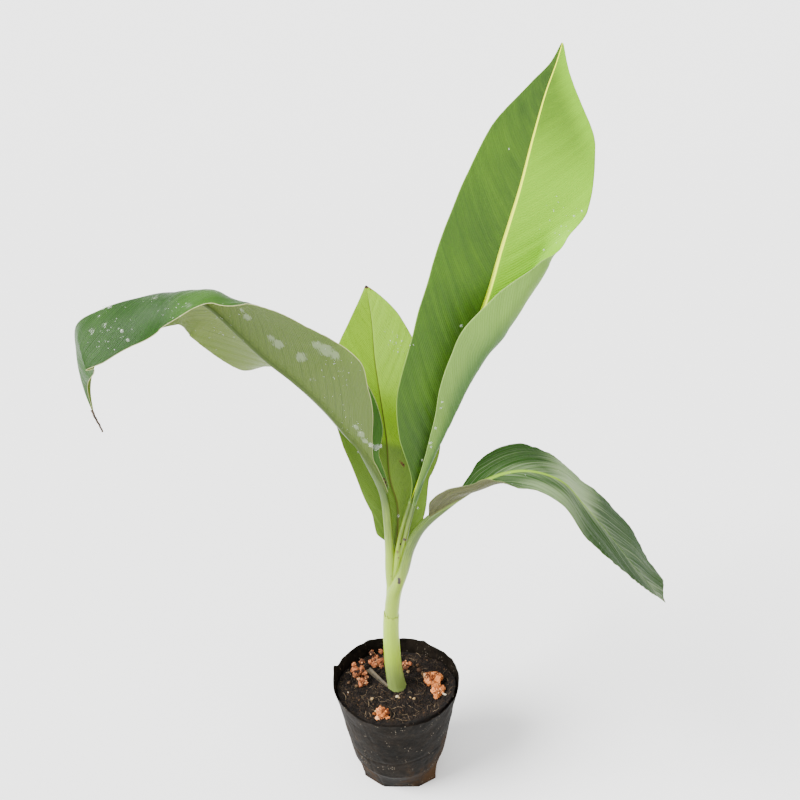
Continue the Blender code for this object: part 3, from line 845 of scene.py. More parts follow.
BAG_TURNS = 300
BAG_ROWS = 120
CREASE_SEED = 11
CREASES = 16
BELT_HEIGHT = 47
BELT_WIDTH = 1.6
BELT_DEPTH = 0.35

# Raised back of the rim: the directions where it starts, is full, begins to sink and has gone
RIM_STEP = (math.radians(58), math.radians(63), math.radians(140), math.radians(170))

# Ear of the rim: its direction, its half width in radians and its rise
RIM_EAR = (math.radians(170), 0.07, 5.2)
EAR_BULGE = 0.9


def flat_reach(turn):
    """How far the flat film between two folds is from the middle at the foot."""
    first, reach = FOLDS[0]
    places = np.array([place for place, _ in FOLDS] + [first + 360])
    reaches = np.array([away for _, away in FOLDS] + [reach])
    away = (np.degrees(turn) + 90 - first) % 360 + first
    i = np.clip(np.searchsorted(places, away, side="right") - 1, 0, len(FOLDS) - 1)
    past, left = np.radians(away - places[i]), np.radians(places[i + 1] - away)
    near, far = reaches[i], reaches[i + 1]
    return near * far * np.sin(past + left) / (near * np.sin(past) + far * np.sin(left))


def bag_radius(height, turn):
    """Radius of the bag's outside. Low down it has flats between folds, one flat at the front."""
    radius = np.interp(height, [h for h, _ in BAG_PROFILE], [r for _, r in BAG_PROFILE])
    strength = np.clip(1 - height / FLATS_END, 0, 1) * FLATS_STRENGTH
    uneven = 1 + OVAL * np.sin(2 * turn + 0.6) + RIPPLE * np.sin(5 * turn + 2.0 + height / 40)
    return radius * uneven * (1 - strength) + flat_reach(turn) * strength


def bag_places(height, turn, inset):
    radius = bag_radius(height, turn) - inset
    x = BAG_LEAN * (1 - height / BAG_HEIGHT) + radius * np.cos(turn)
    return np.stack([x, radius * np.sin(turn), height], axis=-1)


def turn_away(turn, place):
    return (turn - place + math.pi) % math.tau - math.pi


def bag_creases(height, turn):
    """Inward creases that lean a little, and a shallow belt all round."""
    draw = np.random.default_rng(CREASE_SEED)
    depth = np.zeros_like(height)
    for _ in range(CREASES):
        place, lean = draw.uniform(0, math.tau), draw.uniform(-0.006, 0.006)
        middle, reach = draw.uniform(10, 90), draw.uniform(14, 40)
        width, deep = draw.uniform(0.02, 0.05), draw.uniform(0.25, 0.7)
        off = turn_away(turn, place + lean * (height - middle)) / width
        depth += deep * np.exp(-(off**2)) * np.exp(-(((height - middle) / reach) ** 2))
    belt = np.exp(-(((height - BELT_HEIGHT + 3 * np.sin(2 * turn)) / BELT_WIDTH) ** 2))
    return depth + BELT_DEPTH * belt


def bag_piece():
    """Outside wall, rim with its step and ear, and inside wall, closed under the soil."""
    turns = full_turn(BAG_TURNS)
    rim = BAG_HEIGHT + RIM_SWAY * np.sin(3 * turns + 1.0) + RIM_RIPPLE * np.sin(7 * turns)
    rim += RIM_LIFT + RIM_SIDES * np.cos(turns) ** 2
    rim += 0.35 * np.sin(19 * turns + 0.4) + 0.25 * np.sin(31 * turns)
    low, high, until, gone = RIM_STEP
    rim += RIM_BACK * smooth_step(turns, low, high) * smooth_step(turns, gone, until)
    place, width, rise = RIM_EAR
    rim += rise * np.exp(-((turn_away(turns, place) / width) ** 2))
    shares = np.linspace(0, 1, BAG_ROWS) ** 0.9
    heights = shares[:, None] * rim[None, :]
    turn = np.broadcast_to(turns[None, :], heights.shape)
    outside = bag_places(heights, turn, bag_creases(heights, turn))
    rough = grain(outside, 13.0, 2.0) * 0.45 + grain(outside, 5.0, 3.0) * 0.16
    rough *= smooth_step(heights, 0, 6)
    ear = EAR_BULGE * np.exp(-((turn_away(turn, place) / width) ** 2)) * smooth_step(heights, 70, 100)
    outward = np.stack([np.cos(turn), np.sin(turn), np.zeros_like(turn)], axis=-1)
    outside += outward * (rough + ear)[..., None]
    inside = outside - outward * BAG_WALL
    inside[0, :, 2] += BAG_WALL
    return tube_mesh("bag_film", np.concatenate([outside, inside[::-1]]))


def bag_shade():
    """Black film with a dull shine, brown dirt low down at its sides and pale specks of dust."""
    sheet = Sheet("bag_film")
    place = sheet.object_place()
    side = sheet.maths("ABSOLUTE", sheet.node("ShaderNodeSeparateXYZ", sockets={0: place}, out="X"))
    cloud = sheet.noise(place, scale=38.0, detail=4.0, roughness=0.65)
    drag = sheet.noise(sheet.stretch(place, (1.0, 1.0, 0.45)), scale=60.0, detail=4.0, roughness=0.65)
    mottle = sheet.noise(place, scale=210.0, detail=3.0, roughness=0.75)
    base = sheet.stain(ink(9, 8, 6), ink(27, 22, 17), cloud * 0.6 + mottle * 0.4, 0.35, 0.65)
    dirt = cloud * 0.8 + drag * 0.5 + mottle * 0.3 + side * 7.0 - sheet.height() * 5.0
    dirt = sheet.window(dirt, 0.78, 1.12)
    base = sheet.blend(dirt * 0.75, base, ink(62, 44, 27))
    base = sheet.stain(base, ink(58, 50, 40), drag * 0.7 + mottle * 0.5, 0.66, 0.84, 0.45)
    speck = sheet.cells(place, 420.0)
    chosen = sheet.window(sheet.noise(place, scale=90.0, detail=1.0), 0.56, 0.66)
    base = sheet.stain(base, ink(140, 130, 114), speck, 0.26, 0.1, chosen * 0.7)
    scratch = sheet.noise(sheet.stretch(place, (1.0, 1.0, 0.16)), scale=500.0, detail=1.0)
    base = sheet.stain(base, ink(120, 110, 96), scratch, 0.7, 0.78, chosen * 0.5)
    roughness = 0.5 + cloud * 0.16 + dirt * 0.3
    wrinkle = sheet.noise(sheet.stretch(place, (1.0, 1.0, 0.7)), scale=90.0, detail=4.0, roughness=0.6)
    folds = sheet.bump(wrinkle, 0.0012)
    grit = sheet.bump(mottle, 0.0003, below=folds)
    return sheet.surface(Base_Color=base, Roughness=roughness, Normal=grit, IOR=1.2, Specular_IOR_Level=0.2)


# Soil

SOIL_TURNS = 260
SOIL_RINGS = 120
SOIL_EDGE_GAP = 0.9
SKIRT_GAP = 1.6
SKIRT_HEIGHTS = (2.2, 12.0, 34.0, 63.0, 80.0)
SOIL_SINK = 0.2
COVERED_RINGS = slice(4, -8)

# Crumbs in the soil's top: how high, how wide and the seed
CRUMBLY_TOP = ((0.9, 4.2, 5.0), (0.55, 1.9, 6.0))


def soil_height(x, y):
    bumps = noise.noise(Vector((x / 14, y / 14, 3.0))) + 0.5 * noise.noise(Vector((x / 6, y / 6, 8.0)))
    rough = min(SOIL_LEVEL - SOIL_SLOPE * y + SOIL_BUMP * bumps, SOIL_HIGHEST)
    beyond = math.hypot(x - STEM[0][1], y) - SOIL_FLAT_RADIUS
    blend = min(1.0, max(0.0, beyond / SOIL_BLEND_WIDTH))
    return (STEM_FOOT + 0.6) * (1 - blend) + rough * blend


def soil_top():
    """The crumbly top of the soil as rings of points, from its edge inwards."""
    turns = full_turn(SOIL_TURNS)
    edge = bag_places(np.full(SOIL_TURNS, SOIL_LEVEL), turns, BAG_WALL + SOIL_EDGE_GAP)[:, :2]
    shares = np.linspace(1, 0.004, SOIL_RINGS)
    flat = edge[None, :, :] * shares[:, None, None]
    z = np.array([[soil_height(x, y) for x, y in ring] for ring in flat])
    points = np.concatenate([flat, z[..., None]], axis=-1)
    flat_points = points * (1, 1, 0)
    lift = sum(rise * grain(flat_points, size, seed) for rise, size, seed in CRUMBLY_TOP)
    banked = smooth_step(shares, 0.78, 0.97)[:, None] * smooth_step(flat[..., 1], 40, -5)
    banked = banked * (1 + SOIL_BANK_LEAN * flat[..., 0])
    points[..., 2] += lift - SOIL_SINK + SOIL_BANK * banked
    return points


def soil_piece(top):
    """The soil: rings inside the bag from its bottom up, and then the top."""
    turns = full_turn(SOIL_TURNS)
    skirt = [bag_places(np.full(SOIL_TURNS, h), turns, BAG_WALL + SKIRT_GAP) for h in SKIRT_HEIGHTS]
    return tube_mesh("soil_bed", np.concatenate([skirt, top]))


def soil_shade():
    """Dark moist peat, with painted shade that turns it near black in the hollows of its bump, and brown and
    sandy crumbs.
    """
    sheet = Sheet("soil")
    place = sheet.object_place()
    lump = sheet.noise(place, scale=150.0, detail=4.0, roughness=0.7)
    fine = sheet.noise(place, scale=700.0, detail=3.0, roughness=0.7)
    # The darkest ink lies where the bump is lowest: painted shade in the hollows
    base = sheet.stain(ink(7, 5, 4), ink(28, 20, 14), lump, 0.35, 0.7)
    base = sheet.stain(base, ink(62, 46, 34), fine, 0.6, 0.75, 0.5)
    height = sheet.bump(lump + fine * 0.5, 0.0012)
    return sheet.surface(Base_Color=base, Roughness=0.9, Normal=height, Specular_IOR_Level=0.2)


def crumb_shade(name, dark, light, bright, bright_share):
    """Grains that each have a tone of their own, some of them bright, and painted shade in the pits of their
    bump.
    """
    sheet = Sheet(name)
    place = sheet.object_place()
    own = sheet.trait("own_tone")
    fine = sheet.noise(place, scale=900.0, detail=3.0, roughness=0.7)
    # The fine noise that makes the pits also darkens them: painted shade
    base = sheet.stain(dark, light, own + (fine - 0.5) * 0.8, 0.1, 0.85)
    base = sheet.stain(base, bright, own, 1.0 - bright_share, 1.0, 0.8)
    pits = sheet.bump(fine, 0.0006)
    return sheet.surface(Base_Color=base, Roughness=0.88, Normal=pits, Specular_IOR_Level=0.22)


# Scattered grains and fibres

class Garden:
    """A Geometry Nodes tree that scatters one shape over a surface and ends as real faces.
    Its inputs are how many pieces lie on a square metre, the seed, the smallest and the
    largest radii in millimetres and the finish."""

    def __init__(self, name, density, seed, smallest, largest, material):
        self.tree = bpy.data.node_groups.new(name, "GeometryNodeTree")
        self.settings = {}
        self.tree.interface.new_socket("Surface", in_out="INPUT", socket_type="NodeSocketGeometry")
        self.tree.interface.new_socket("Grains", in_out="OUTPUT", socket_type="NodeSocketGeometry")
        self.start = self.tree.nodes.new("NodeGroupInput")
        self.end = self.tree.nodes.new("NodeGroupOutput")
        self.density = self.knob("Pieces per square metre", "NodeSocketFloat", density)
        self.seed = self.knob("Seed", "NodeSocketInt", seed)
        self.smallest = self.knob("Smallest", "NodeSocketVector", tuple(v * MM for v in smallest))
        self.largest = self.knob("Largest", "NodeSocketVector", tuple(v * MM for v in largest))
        self.finish = self.knob("Finish", "NodeSocketMaterial", material)

    def knob(self, name, kind, value):
        """A named input of the tree."""
        socket = self.tree.interface.new_socket(name, in_out="INPUT", socket_type=kind)
        self.settings[socket.identifier] = value
        return self.start.outputs[name]

    def node(self, kind, settings=None, sockets=None):
        return add_node(self.tree, kind, settings, sockets)

    def random_triple(self, low, high):
        sockets = {0: low, 1: high}
        return self.node("FunctionNodeRandomValue", {"data_type": "FLOAT_VECTOR"}, sockets).outputs[0]

    def scatter(self, shape, tilt):
        """Puts the shape on the surface, each copy with a turn, a size and a tone of its own."""
        surface = self.start.outputs["Surface"]
        spread = self.node(
            "GeometryNodeDistributePointsOnFaces",
            sockets={"Mesh": surface, "Density": self.density, "Seed": self.seed},
        )
        placed = self.node(
            "GeometryNodeInstanceOnPoints",
            sockets={
                "Points": spread.outputs["Points"],
                "Instance": shape.outputs[0],
                "Rotation": self.random_triple((-tilt, -tilt, 0), (tilt, tilt, math.tau)),
                "Scale": self.random_triple(self.smallest, self.largest),
            },
        )
        tone = self.node("FunctionNodeRandomValue", {"data_type": "FLOAT"})
        marked = self.node(
            "GeometryNodeStoreNamedAttribute",
            {"data_type": "FLOAT", "domain": "INSTANCE"},
            {"Geometry": placed.outputs[0], "Name": "own_tone", "Value": tone.outputs[1]},
        )
        real = self.node("GeometryNodeRealizeInstances", sockets={"Geometry": marked.outputs[0]})
        sockets = {"Geometry": real.outputs[0], "Material": self.finish}
        clad = self.node("GeometryNodeSetMaterial", sockets=sockets)
        self.tree.links.new(clad.outputs[0], self.end.inputs["Grains"])

    def grow_on(self, surface, name):
        """Runs the tree on a surface and keeps the result as a plain mesh."""
        modifier = surface.modifiers.new("garden", "NODES")
        modifier.node_group = self.tree
        for identifier, value in self.settings.items():
            modifier[identifier] = value
        bpy.context.view_layer.update()
        ready = surface.evaluated_get(bpy.context.evaluated_depsgraph_get())
        mesh = bpy.data.meshes.new_from_object(ready)
        surface.modifiers.remove(modifier)
        mesh.name = name
        piece = bpy.data.objects.new(name, mesh)
        bpy.context.scene.collection.objects.link(piece)
        return piece


def grain_garden(name, **inputs):
    """Crumbs: a rough ball squeezed to a different lump each time."""
    garden = Garden(name, **inputs)
    ball = garden.node("GeometryNodeMeshIcoSphere", sockets={"Radius": 1.0, "Subdivisions": 1})
    lumps = garden.node("ShaderNodeTexNoise", sockets={"Scale": 1.6, "Detail": 2.0})
    sockets = {0: lumps.outputs["Color"], 1: (0.5, 0.5, 0.5)}
    inward = garden.node("ShaderNodeVectorMath", {"operation": "SUBTRACT"}, sockets)
    sockets = {"Geometry": ball.outputs["Mesh"], "Offset": inward.outputs[0]}
    garden.scatter(garden.node("GeometryNodeSetPosition", sockets=sockets), math.pi)
    return garden


def fibre_garden(name, thickness, tilt, **inputs):
    """Fibres: a thin bent thread that lies on the soil or leans out of it."""
    garden = Garden(name, **inputs)
    sockets = {"Resolution": 6, "Start": (-1, -0.1, 0), "Middle": (0.2, 0.9, 0.25), "End": (1, -0.3, 0.1)}
    bend = garden.node("GeometryNodeCurveQuadraticBezier", sockets=sockets)
    sockets = {"Resolution": 4, "Radius": thickness}
    round_end = garden.node("GeometryNodeCurvePrimitiveCircle", {"mode": "RADIUS"}, sockets)
    thread = garden.node(
        "GeometryNodeCurveToMesh",
        sockets={"Curve": bend.outputs[0], "Profile Curve": round_end.outputs[0], "Fill Caps": True},
    )
    garden.scatter(thread, tilt)
    return garden


def surface_to_cover(points, name):
    """A bare sheet through rings of points, for scattering on."""
    return build_mesh(name, points.reshape(-1, 3), grid_faces(*points.shape[:2], closed=True))


def drop_object(thing):
    mesh = thing.data
    bpy.data.objects.remove(thing)
    bpy.data.meshes.remove(mesh)


def ball_shape():
    """Points and faces of a coarse ball of radius 1."""
    shape = bmesh.new()
    bmesh.ops.create_icosphere(shape, subdivisions=2, radius=1)
    points = np.array([vertex.co[:] for vertex in shape.verts])
    faces = np.array([[vertex.index for vertex in face.verts] for face in shape.faces])
    shape.free()
    return points, faces


def lump_heap(name, lumps, seed):
    """Angular lumps in one piece. Each lump: its middle, its radius and its tone."""
    draw = np.random.default_rng(seed)
    ball, sides = ball_shape()
    points, faces, tones = [], [], []
    for middle, radius, tone in lumps:
        turned = np.linalg.qr(draw.normal(0, 1, (3, 3)))[0]
        shape = ball * (1 + 0.55 * grain(ball + draw.uniform(0, 50, 3), 0.9, seed))[:, None]
        shape = shape * draw.uniform(0.72, 1.12, 3)
        way = 1 if np.linalg.det(turned) > 0 else -1
        points.append(shape @ turned.T * radius * way + np.array(middle))
        faces += (sides + len(ball) * len(tones)).tolist()
        tones.append(tone)
    tones = np.repeat(tones, len(ball))
    piece = build_mesh(name, np.concatenate(points), faces, traits={"own_tone": tones})
    piece.data.set_sharp_from_angle(angle=LUMP_EDGE)
    return piece


def clod_lumps(number, place):
    """Where the lumps of one clod lie: big ones make a firm clod and small ones a loose heap."""
    x, y, radius, squash = place
    middle = np.array([x, y, SOIL_LEVEL - SOIL_SLOPE * y + radius * squash * (1 - 2 * CLOD_SINK)])
    draw = np.random.default_rng(CLOD_SEED + number)
    smallest, largest, count = FIRM_LUMPS if number in FIRM_CLODS else LOOSE_LUMPS
    lumps = [(middle, radius * CORE_SHARE, CORE_TONE)]
    for _ in range(count):
        size = radius * draw.uniform(smallest, largest)
        way = unit(draw.normal(0, 1, 3)) * draw.uniform(0.55, 1.0) * (radius - 0.8 * size)
        lumps.append((middle + way * (1, 1, squash), size, draw.uniform(0.0, 1.0)))
    lumps += [((x, y, z), size, tone) for x, y, z, size, tone in FURTHER_LUMPS[number]]
    return lumps


# Things seen at a place in the picture

def sight_line(across, down):
    """Direction from the camera through a place in the picture, in pixels from its top left corner."""
    pixels_per_unit = CAMERA_LENS / SENSOR_WIDTH * PICTURE_SIZE
    ahead = Vector((across - PICTURE_SIZE / 2, PICTURE_SIZE / 2 - down, -pixels_per_unit)).normalized()
    return Matrix.Rotation(CAMERA_TILT, 3, "X") @ ahead


class Lookout:
    """Finds what the camera sees at a place in the picture."""

    def __init__(self, pieces):
        graph = bpy.context.evaluated_depsgraph_get()
        self.trees = [(piece, BVHTree.FromObject(piece, graph)) for piece in pieces]

    def seen(self, across, down):
        """The nearest piece there, the point on it and the direction that its surface faces."""
        start = Vector(CAMERA_PLACE)
        line = sight_line(across, down)
        best = None
        for piece, tree in self.trees:
            place, facing, _, distance = tree.ray_cast(start, line)
            if place is not None and (best is None or distance < best[3]):
                best = (piece, place, facing if facing.dot(line) < 0 else -facing, distance)
        return best


def paint(piece, trait, place, facing, radius, strength):
    """Raises a trait round a point, on the side of the piece that faces the same way."""
    mesh = piece.data
    count = len(mesh.vertices)
    places, normals, values = np.empty(count * 3), np.empty(count * 3), np.empty(count)
    mesh.vertices.foreach_get("co", places)
    mesh.vertex_normals.foreach_get("vector", normals)
    store = mesh.attributes[trait].data
    store.foreach_get("value", values)
    away = np.linalg.norm(places.reshape(-1, 3) - np.array(place), axis=1) / (radius * MM)
    added = strength * np.exp(-(away**2)) * (normals.reshape(-1, 3) @ np.array(facing) > 0)
    store.foreach_set("value", np.maximum(values, added).astype(np.float32))


# Places in the picture: across, down, radius in millimetres and, but for drops, strength
SCARS = [
    (398.6, 458.8, 0.8, 0.6),
    (400, 461, 0.9, 0.7),
    (401.6, 463, 1.1, 0.9),
    (403.2, 464.8, 1.2, 0.95),
    (404, 466.4, 0.8, 0.8),
    (384, 479, 1.1, 1.0),
    (385.2, 482.5, 1.2, 1.2),
    (386, 486, 1.3, 1.2),
    (404.5, 539.5, 1.3, 1.4),
    (400.5, 544, 1.0, 1.2),
    (397.5, 552, 2.2, 0.55),
    (398.5, 558, 1.4, 0.55),
    (399, 579, 1.3, 1.5),
    (399.3, 581, 1.3, 1.5),
    (399, 583, 1.3, 1.5),
    (391, 576, 0.9, 0.7),
    (84.5, 385, 1.2, 0.4),
    (366.5, 286.5, 2.0, 0.95),
    (371, 289, 2.2, 0.5),
    (664, 600, 1.4, 0.7),
    (562, 46, 1.4, 0.42),
]
WET_PATCHES = [
    (247, 317, 4.5, 0.9),
    (242, 310, 3.0, 0.8),
    (278, 344, 5.5, 1.0),
    (271, 338, 4.0, 0.9),
    (301, 357, 5.5, 0.95),
    (317, 345, 5.0, 0.95),
    (326, 350, 7.0, 1.0),
    (335, 355, 5.0, 0.9),
    (312, 380, 3.5, 0.6),
    (356, 427, 3.5, 0.9),
    (361, 434, 4.5, 1.0),
    (365, 441, 3.5, 1.0),
    (92, 331, 5.0, 0.6),
    (105, 325, 5.0, 0.55),
    (155, 298, 5.0, 0.6),
    (188, 305, 5.0, 0.6),
]
DROPS = [
    (122, 331, 1.5),
    (128, 340, 1.5),
    (461.5, 326, 1.3),
    (442, 402, 0.9),
    (441, 408, 0.9),
    (435.5, 428, 1.4),
    (430.5, 443, 1.3),
    (422.5, 460, 1.3),
    (398.5, 516, 1.5),
    (358, 452, 1.0),
    (431, 447, 1.1),
    (418, 508, 1.3),
    (371, 445, 2.6),
    (376, 447.5, 3.0),
    (380, 446, 2.0),
    (104, 308, 2.4),
    (110, 307, 2.0),
    (544, 250, 0.9),
    (574, 216, 0.9),
    (582, 211, 0.8),
    (402, 341, 0.9),
    (398, 352, 0.8),
    (509, 149, 0.7),
]
SPRAY = [
    # Middle of the sprayed field in the picture, its reach in pixels and the count of fine drops
    (110, 330, 26, 40),
    (170, 310, 24, 30),
    (225, 330, 28, 34),
    (330, 375, 26, 34),
    (352, 425, 16, 20),
    (395, 340, 16, 24),
    (560, 225, 26, 22),
    (590, 500, 30, 20),
    (520, 480, 24, 14),
]
DROP_TURNS = 10
DROP_RINGS = 5
DROP_FLATNESS = 0.62
DROP_FOOT = math.radians(-14)
DROP_SAG = (0.8, 1.15)
SPRAY_RADIUS = (0.22, 0.55)
SPRAY_SEED = 21


def drop_points(place, facing, radius, sag):
    """A dome of water on a surface, with its foot a little inside the surface."""
    facing = np.array(facing)
    level = unit(np.cross(facing, (0.3, 0.9, 0.31)))
    other = np.cross(facing, level)
    middle = np.array(place) / MM
    rings = []
    for k in range(DROP_RINGS):
        rise = DROP_FOOT + (math.pi / 2 - DROP_FOOT) * k / DROP_RINGS
        for j in range(DROP_TURNS):
            turn = math.tau * j / DROP_TURNS
            side = math.cos(turn) * level + math.sin(turn) * other * sag
            rings.append(middle + radius * (math.cos(rise) * side + DROP_FLATNESS * math.sin(rise) * facing))
    rings.append(middle + radius * DROP_FLATNESS * facing)
    return rings


def water_piece(lookout):
    """All drops in one piece: the ones that the picture shows and a fine spray."""
    draw = np.random.default_rng(SPRAY_SEED)
    wanted = list(DROPS)
    for across, down, reach, count in SPRAY:
        for _ in range(count):
            off = draw.normal(0, reach / 2, 2)
            wanted.append((across + off[0], down + off[1], draw.uniform(*SPRAY_RADIUS)))
    points, faces = [], []
    for across, down, radius in wanted:
        found = lookout.seen(across, down)
        if found is None:
            continue
        start = len(points)
        points += drop_points(found[1], found[2], radius, draw.uniform(*DROP_SAG))
        faces += grid_faces(DROP_RINGS, DROP_TURNS, start=start, closed=True)
        last = start + (DROP_RINGS - 1) * DROP_TURNS
        tip = start + DROP_RINGS * DROP_TURNS
        faces += [[last + j, last + (j + 1) % DROP_TURNS, tip] for j in range(DROP_TURNS)]
        faces.append([start + j for j in range(DROP_TURNS)][::-1])
    return build_mesh("water_drops", points, faces)


def water_shade():
    sheet = Sheet("water")
    return sheet.surface(
        Base_Color=(0.8, 0.87, 0.76, 1.0),
        Roughness=0.05,
        Alpha=0.22,
        Specular_IOR_Level=0.8,
    )


# Litter on the soil and the dried tip

STRIP_PATH = [(-27, 18, 97.4), (-20, 10, 96.6), (-13, 2, 96.2), (-8.5, -3, 96)]
STRIP_ROWS = 60
STRIP_COLUMNS = 13
ROOT_PATH = [(42, -14, 99, 0.9), (47, -17.5, 99.6, 0.8), (51.5, -18, 99.2, 0.5)]


def ribbon_piece(name, path, width, thickness, hollow):
    """A dried strip that follows a path, its section bent into a shallow channel."""
    _, centre, _, tangent = run_along(path, STRIP_ROWS)
    across = unit(np.cross(tangent, (0.0, 0.0, 1.0)))
    up = np.cross(across, tangent)
    shares = np.linspace(-1, 1, STRIP_COLUMNS)
    rough = grain(np.stack([centre + across * s * width for s in shares], axis=1), 2.4, 8.0)
    narrow = width / 2 * (1 - 0.45 * np.linspace(0, 1, STRIP_ROWS) ** 2)
    out = narrow[:, None] * shares * (1 + 0.08 * rough)
    shells = []
    for side in (1, -1):
        lift = hollow * shares**2 + side * thickness / 2 * np.sqrt(1.02 - shares**2) + 0.25 * rough
        raised = lift[..., None] * up[:, None, :]
        shells.append(centre[:, None, :] + out[..., None] * across[:, None, :] + raised)
    return tube_mesh(name, np.concatenate([shells[0], shells[1][:, ::-1]], axis=1))


def thread_piece(name, path, turns, rows, roughness):
    """A thin round thread or root along a path of x, y, z and radius."""
    reads, centre, radius, tangent = run_along(path, rows)
    across = unit(np.cross(tangent, (0.2, 1.0, 0.1)))
    turn = full_turn(turns)
    reach = radius * (1 + roughness * np.sin(3 * turn + reads[:, None] * 1.3))
    return tube_mesh(name, rings_along(centre, reach, turn, across, np.cross(tangent, across)))


def dried_shade(name, dark, light, scale):
    """Dried plant matter with streaks and a rough skin."""
    sheet = Sheet(name)
    place = sheet.object_place()
    streak = sheet.noise(sheet.stretch(place, (1.0, 1.0, 0.3)), scale=scale, detail=4.0, roughness=0.7)
    base = sheet.stain(dark, light, streak, 0.3, 0.72)
    return sheet.surface(Base_Color=base, Roughness=0.75, Normal=sheet.bump(streak, 0.0004))


# Stage

METRE = 1000.0
FLOOR_REACH = 9 * METRE
SKY_STRENGTH = 1.5

# Floor, rising behind the plant: how far back and how high, in metres
FLOOR_PROFILE = [(-6, 0), (2.5, 0), (4, 0.1), (8, 0.8), (14, 1.9)]

# Lights: where each comes from, its strength and how wide it is in degrees
LIGHTS = {"key": ((-1.0, -0.35, 0.9), 9.0, 35), "fill": ((0.8, -1.0, 0.6), 1.1, 60)}


def soft_sun(name, comes_from, strength, width):
    """Even light from one side, as wide as a sky window of that many degrees."""
    lamp = bpy.data.lights.new(name, "SUN")
    lamp.energy = strength
    lamp.angle = math.radians(width)
    holder = bpy.data.objects.new(name, lamp)
    holder.rotation_euler = Vector(comes_from).to_track_quat("Z", "Y").to_euler()
    bpy.context.scene.collection.objects.link(holder)


def set_stage():
    camera = bpy.data.cameras.new("camera")
    camera.lens = CAMERA_LENS
    camera.sensor_width = SENSOR_WIDTH
    holder = bpy.data.objects.new("camera", camera)
    holder.location = CAMERA_PLACE
    holder.rotation_euler = (CAMERA_TILT, 0, 0)
    bpy.context.scene.collection.objects.link(holder)
    bpy.context.scene.camera = holder

    points = [(side * FLOOR_REACH, y * METRE, z * METRE) for y, z in FLOOR_PROFILE for side in (-1, 1)]
    floor = build_mesh("floor", points, grid_faces(len(FLOOR_PROFILE), 2, flip=True))
    sheet = Sheet("floor")
    cloud = sheet.noise(sheet.object_place(), scale=3.0, detail=2.0)
    tint = sheet.blend(cloud, (0.94, 0.94, 0.935, 1.0), (0.95, 0.95, 0.945, 1.0))
    floor.data.materials.append(sheet.surface(Base_Color=tint, Roughness=0.9, Specular_IOR_Level=0.2))

    for name, (comes_from, strength, width) in LIGHTS.items():
        soft_sun(name, comes_from, strength, width)
    world = bpy.data.worlds.new("studio")
    world.use_nodes = True
    sky = world.node_tree.nodes["Background"].inputs
    sky["Color"].default_value = (1.0, 1.0, 1.0, 1.0)
    sky["Strength"].default_value = SKY_STRENGTH
    bpy.context.scene.world = world


# Making

def upright_painted_light(leaf):
    """Painted shade on the left half and painted light on the right half, with a painted shade in a fold
    beside the tip and a painted gradient from shade to light across the rolled flap.
    """
    along = leaf.run
    # Painted shade over the left half
    left = 0.15 + 0.07 * smooth_step(along, 0.15, 0.5)
    # Painted shade in the fold beside the tip; the rest of the right half gets painted light
    fold = smooth_step(leaf.out, 6 + 300 * (0.98 - along), 0 + 300 * (0.93 - along))
    right = 0.9 - 0.42 * fold * smooth_step(along, 0.74, 0.88)
    # Across the rolled flap, painted shade turning to painted light towards the margin
    rolled = smooth_step(leaf.share, 0.3, 0.36) * smooth_step(along, 0.56, 0.44)
    flap_light = smooth_step(leaf.share, 0.4, 0.95)
    right = right * (1 - rolled) + flap_light * rolled
    return np.where(leaf.hand < 0, left, right)


def back_painted_light(leaf):
    """Painted light above, where the sun shines through the blade, and a painted shadow below, cast by the
    leaves in front.
    """
    along = leaf.run
    # Edge of the painted shadow, slanting across the blade
    edge = 0.415 - 0.05 * leaf.hand * leaf.share
    edge += (0.075 - 0.025 * leaf.hand) * smooth_step(leaf.share, 0.45, 0.75)
    return 0.1 + 0.72 * smooth_step(along, edge - 0.02, edge + 0.02)


def arching_tone_and_sheen(leaf):
    """The far half is lighter than the near one, and the tip is lighter still. A painted sheen lightens a
    band just before the crest, and a darker band follows over the crest.
    """
    along = leaf.run
    # Painted sheen just before the crest
    bright = np.exp(-(((along - 0.56) / 0.05) ** 2))
    dark = np.exp(-(((along - 0.67) / 0.05) ** 2))
    return 0.4 + 0.25 * leaf.hand + 0.1 * smooth_step(along, 0.7, 0.95) + 0.4 * bright - 0.38 * dark


def drooping_painted_sheen(leaf):
    """Plain dark green at both ends, with a pale painted sheen over the middle of the blade and beside the
    midrib.
    """
    along = leaf.run
    # Painted sheen over the far half and, away from the midrib, over the near half
    far = smooth_step(along, 0.35, 0.48) * smooth_step(along, 0.68, 0.54)
    near = smooth_step(along, 0.26, 0.38) * smooth_step(along, 0.62, 0.42) * smooth_step(leaf.out, 4, 20)
    middle = np.where(leaf.hand < 0, far, 0.8 * near)
    # Painted sheen beside the midrib
    sheen_by_rib = smooth_step(leaf.out, 14, 4) * smooth_step(along, 0.2, 0.3)
    sheen_by_rib = sheen_by_rib * (0.4 - 0.25 * smooth_step(along, 0.55, 0.75))
    outer = smooth_step(along, 0.6, 0.75) - 3.2 * smooth_step(along, 0.82, 0.95)
    return 0.06 + 0.62 * np.maximum(middle, sheen_by_rib) - 0.06 * outer


def make_leaf(name, leaf, tone, nodes, over, under):
    """A blade with a finish on each side, each given as its inks and its settings by name."""
    piece = leaf.build(f"{name}_leaf", tone(leaf))
    shades = [leaf_shade(f"{name}_over", **over), leaf_shade(f"{name}_under", **under)]
    finish_piece(piece, shades, nodes)
    return piece


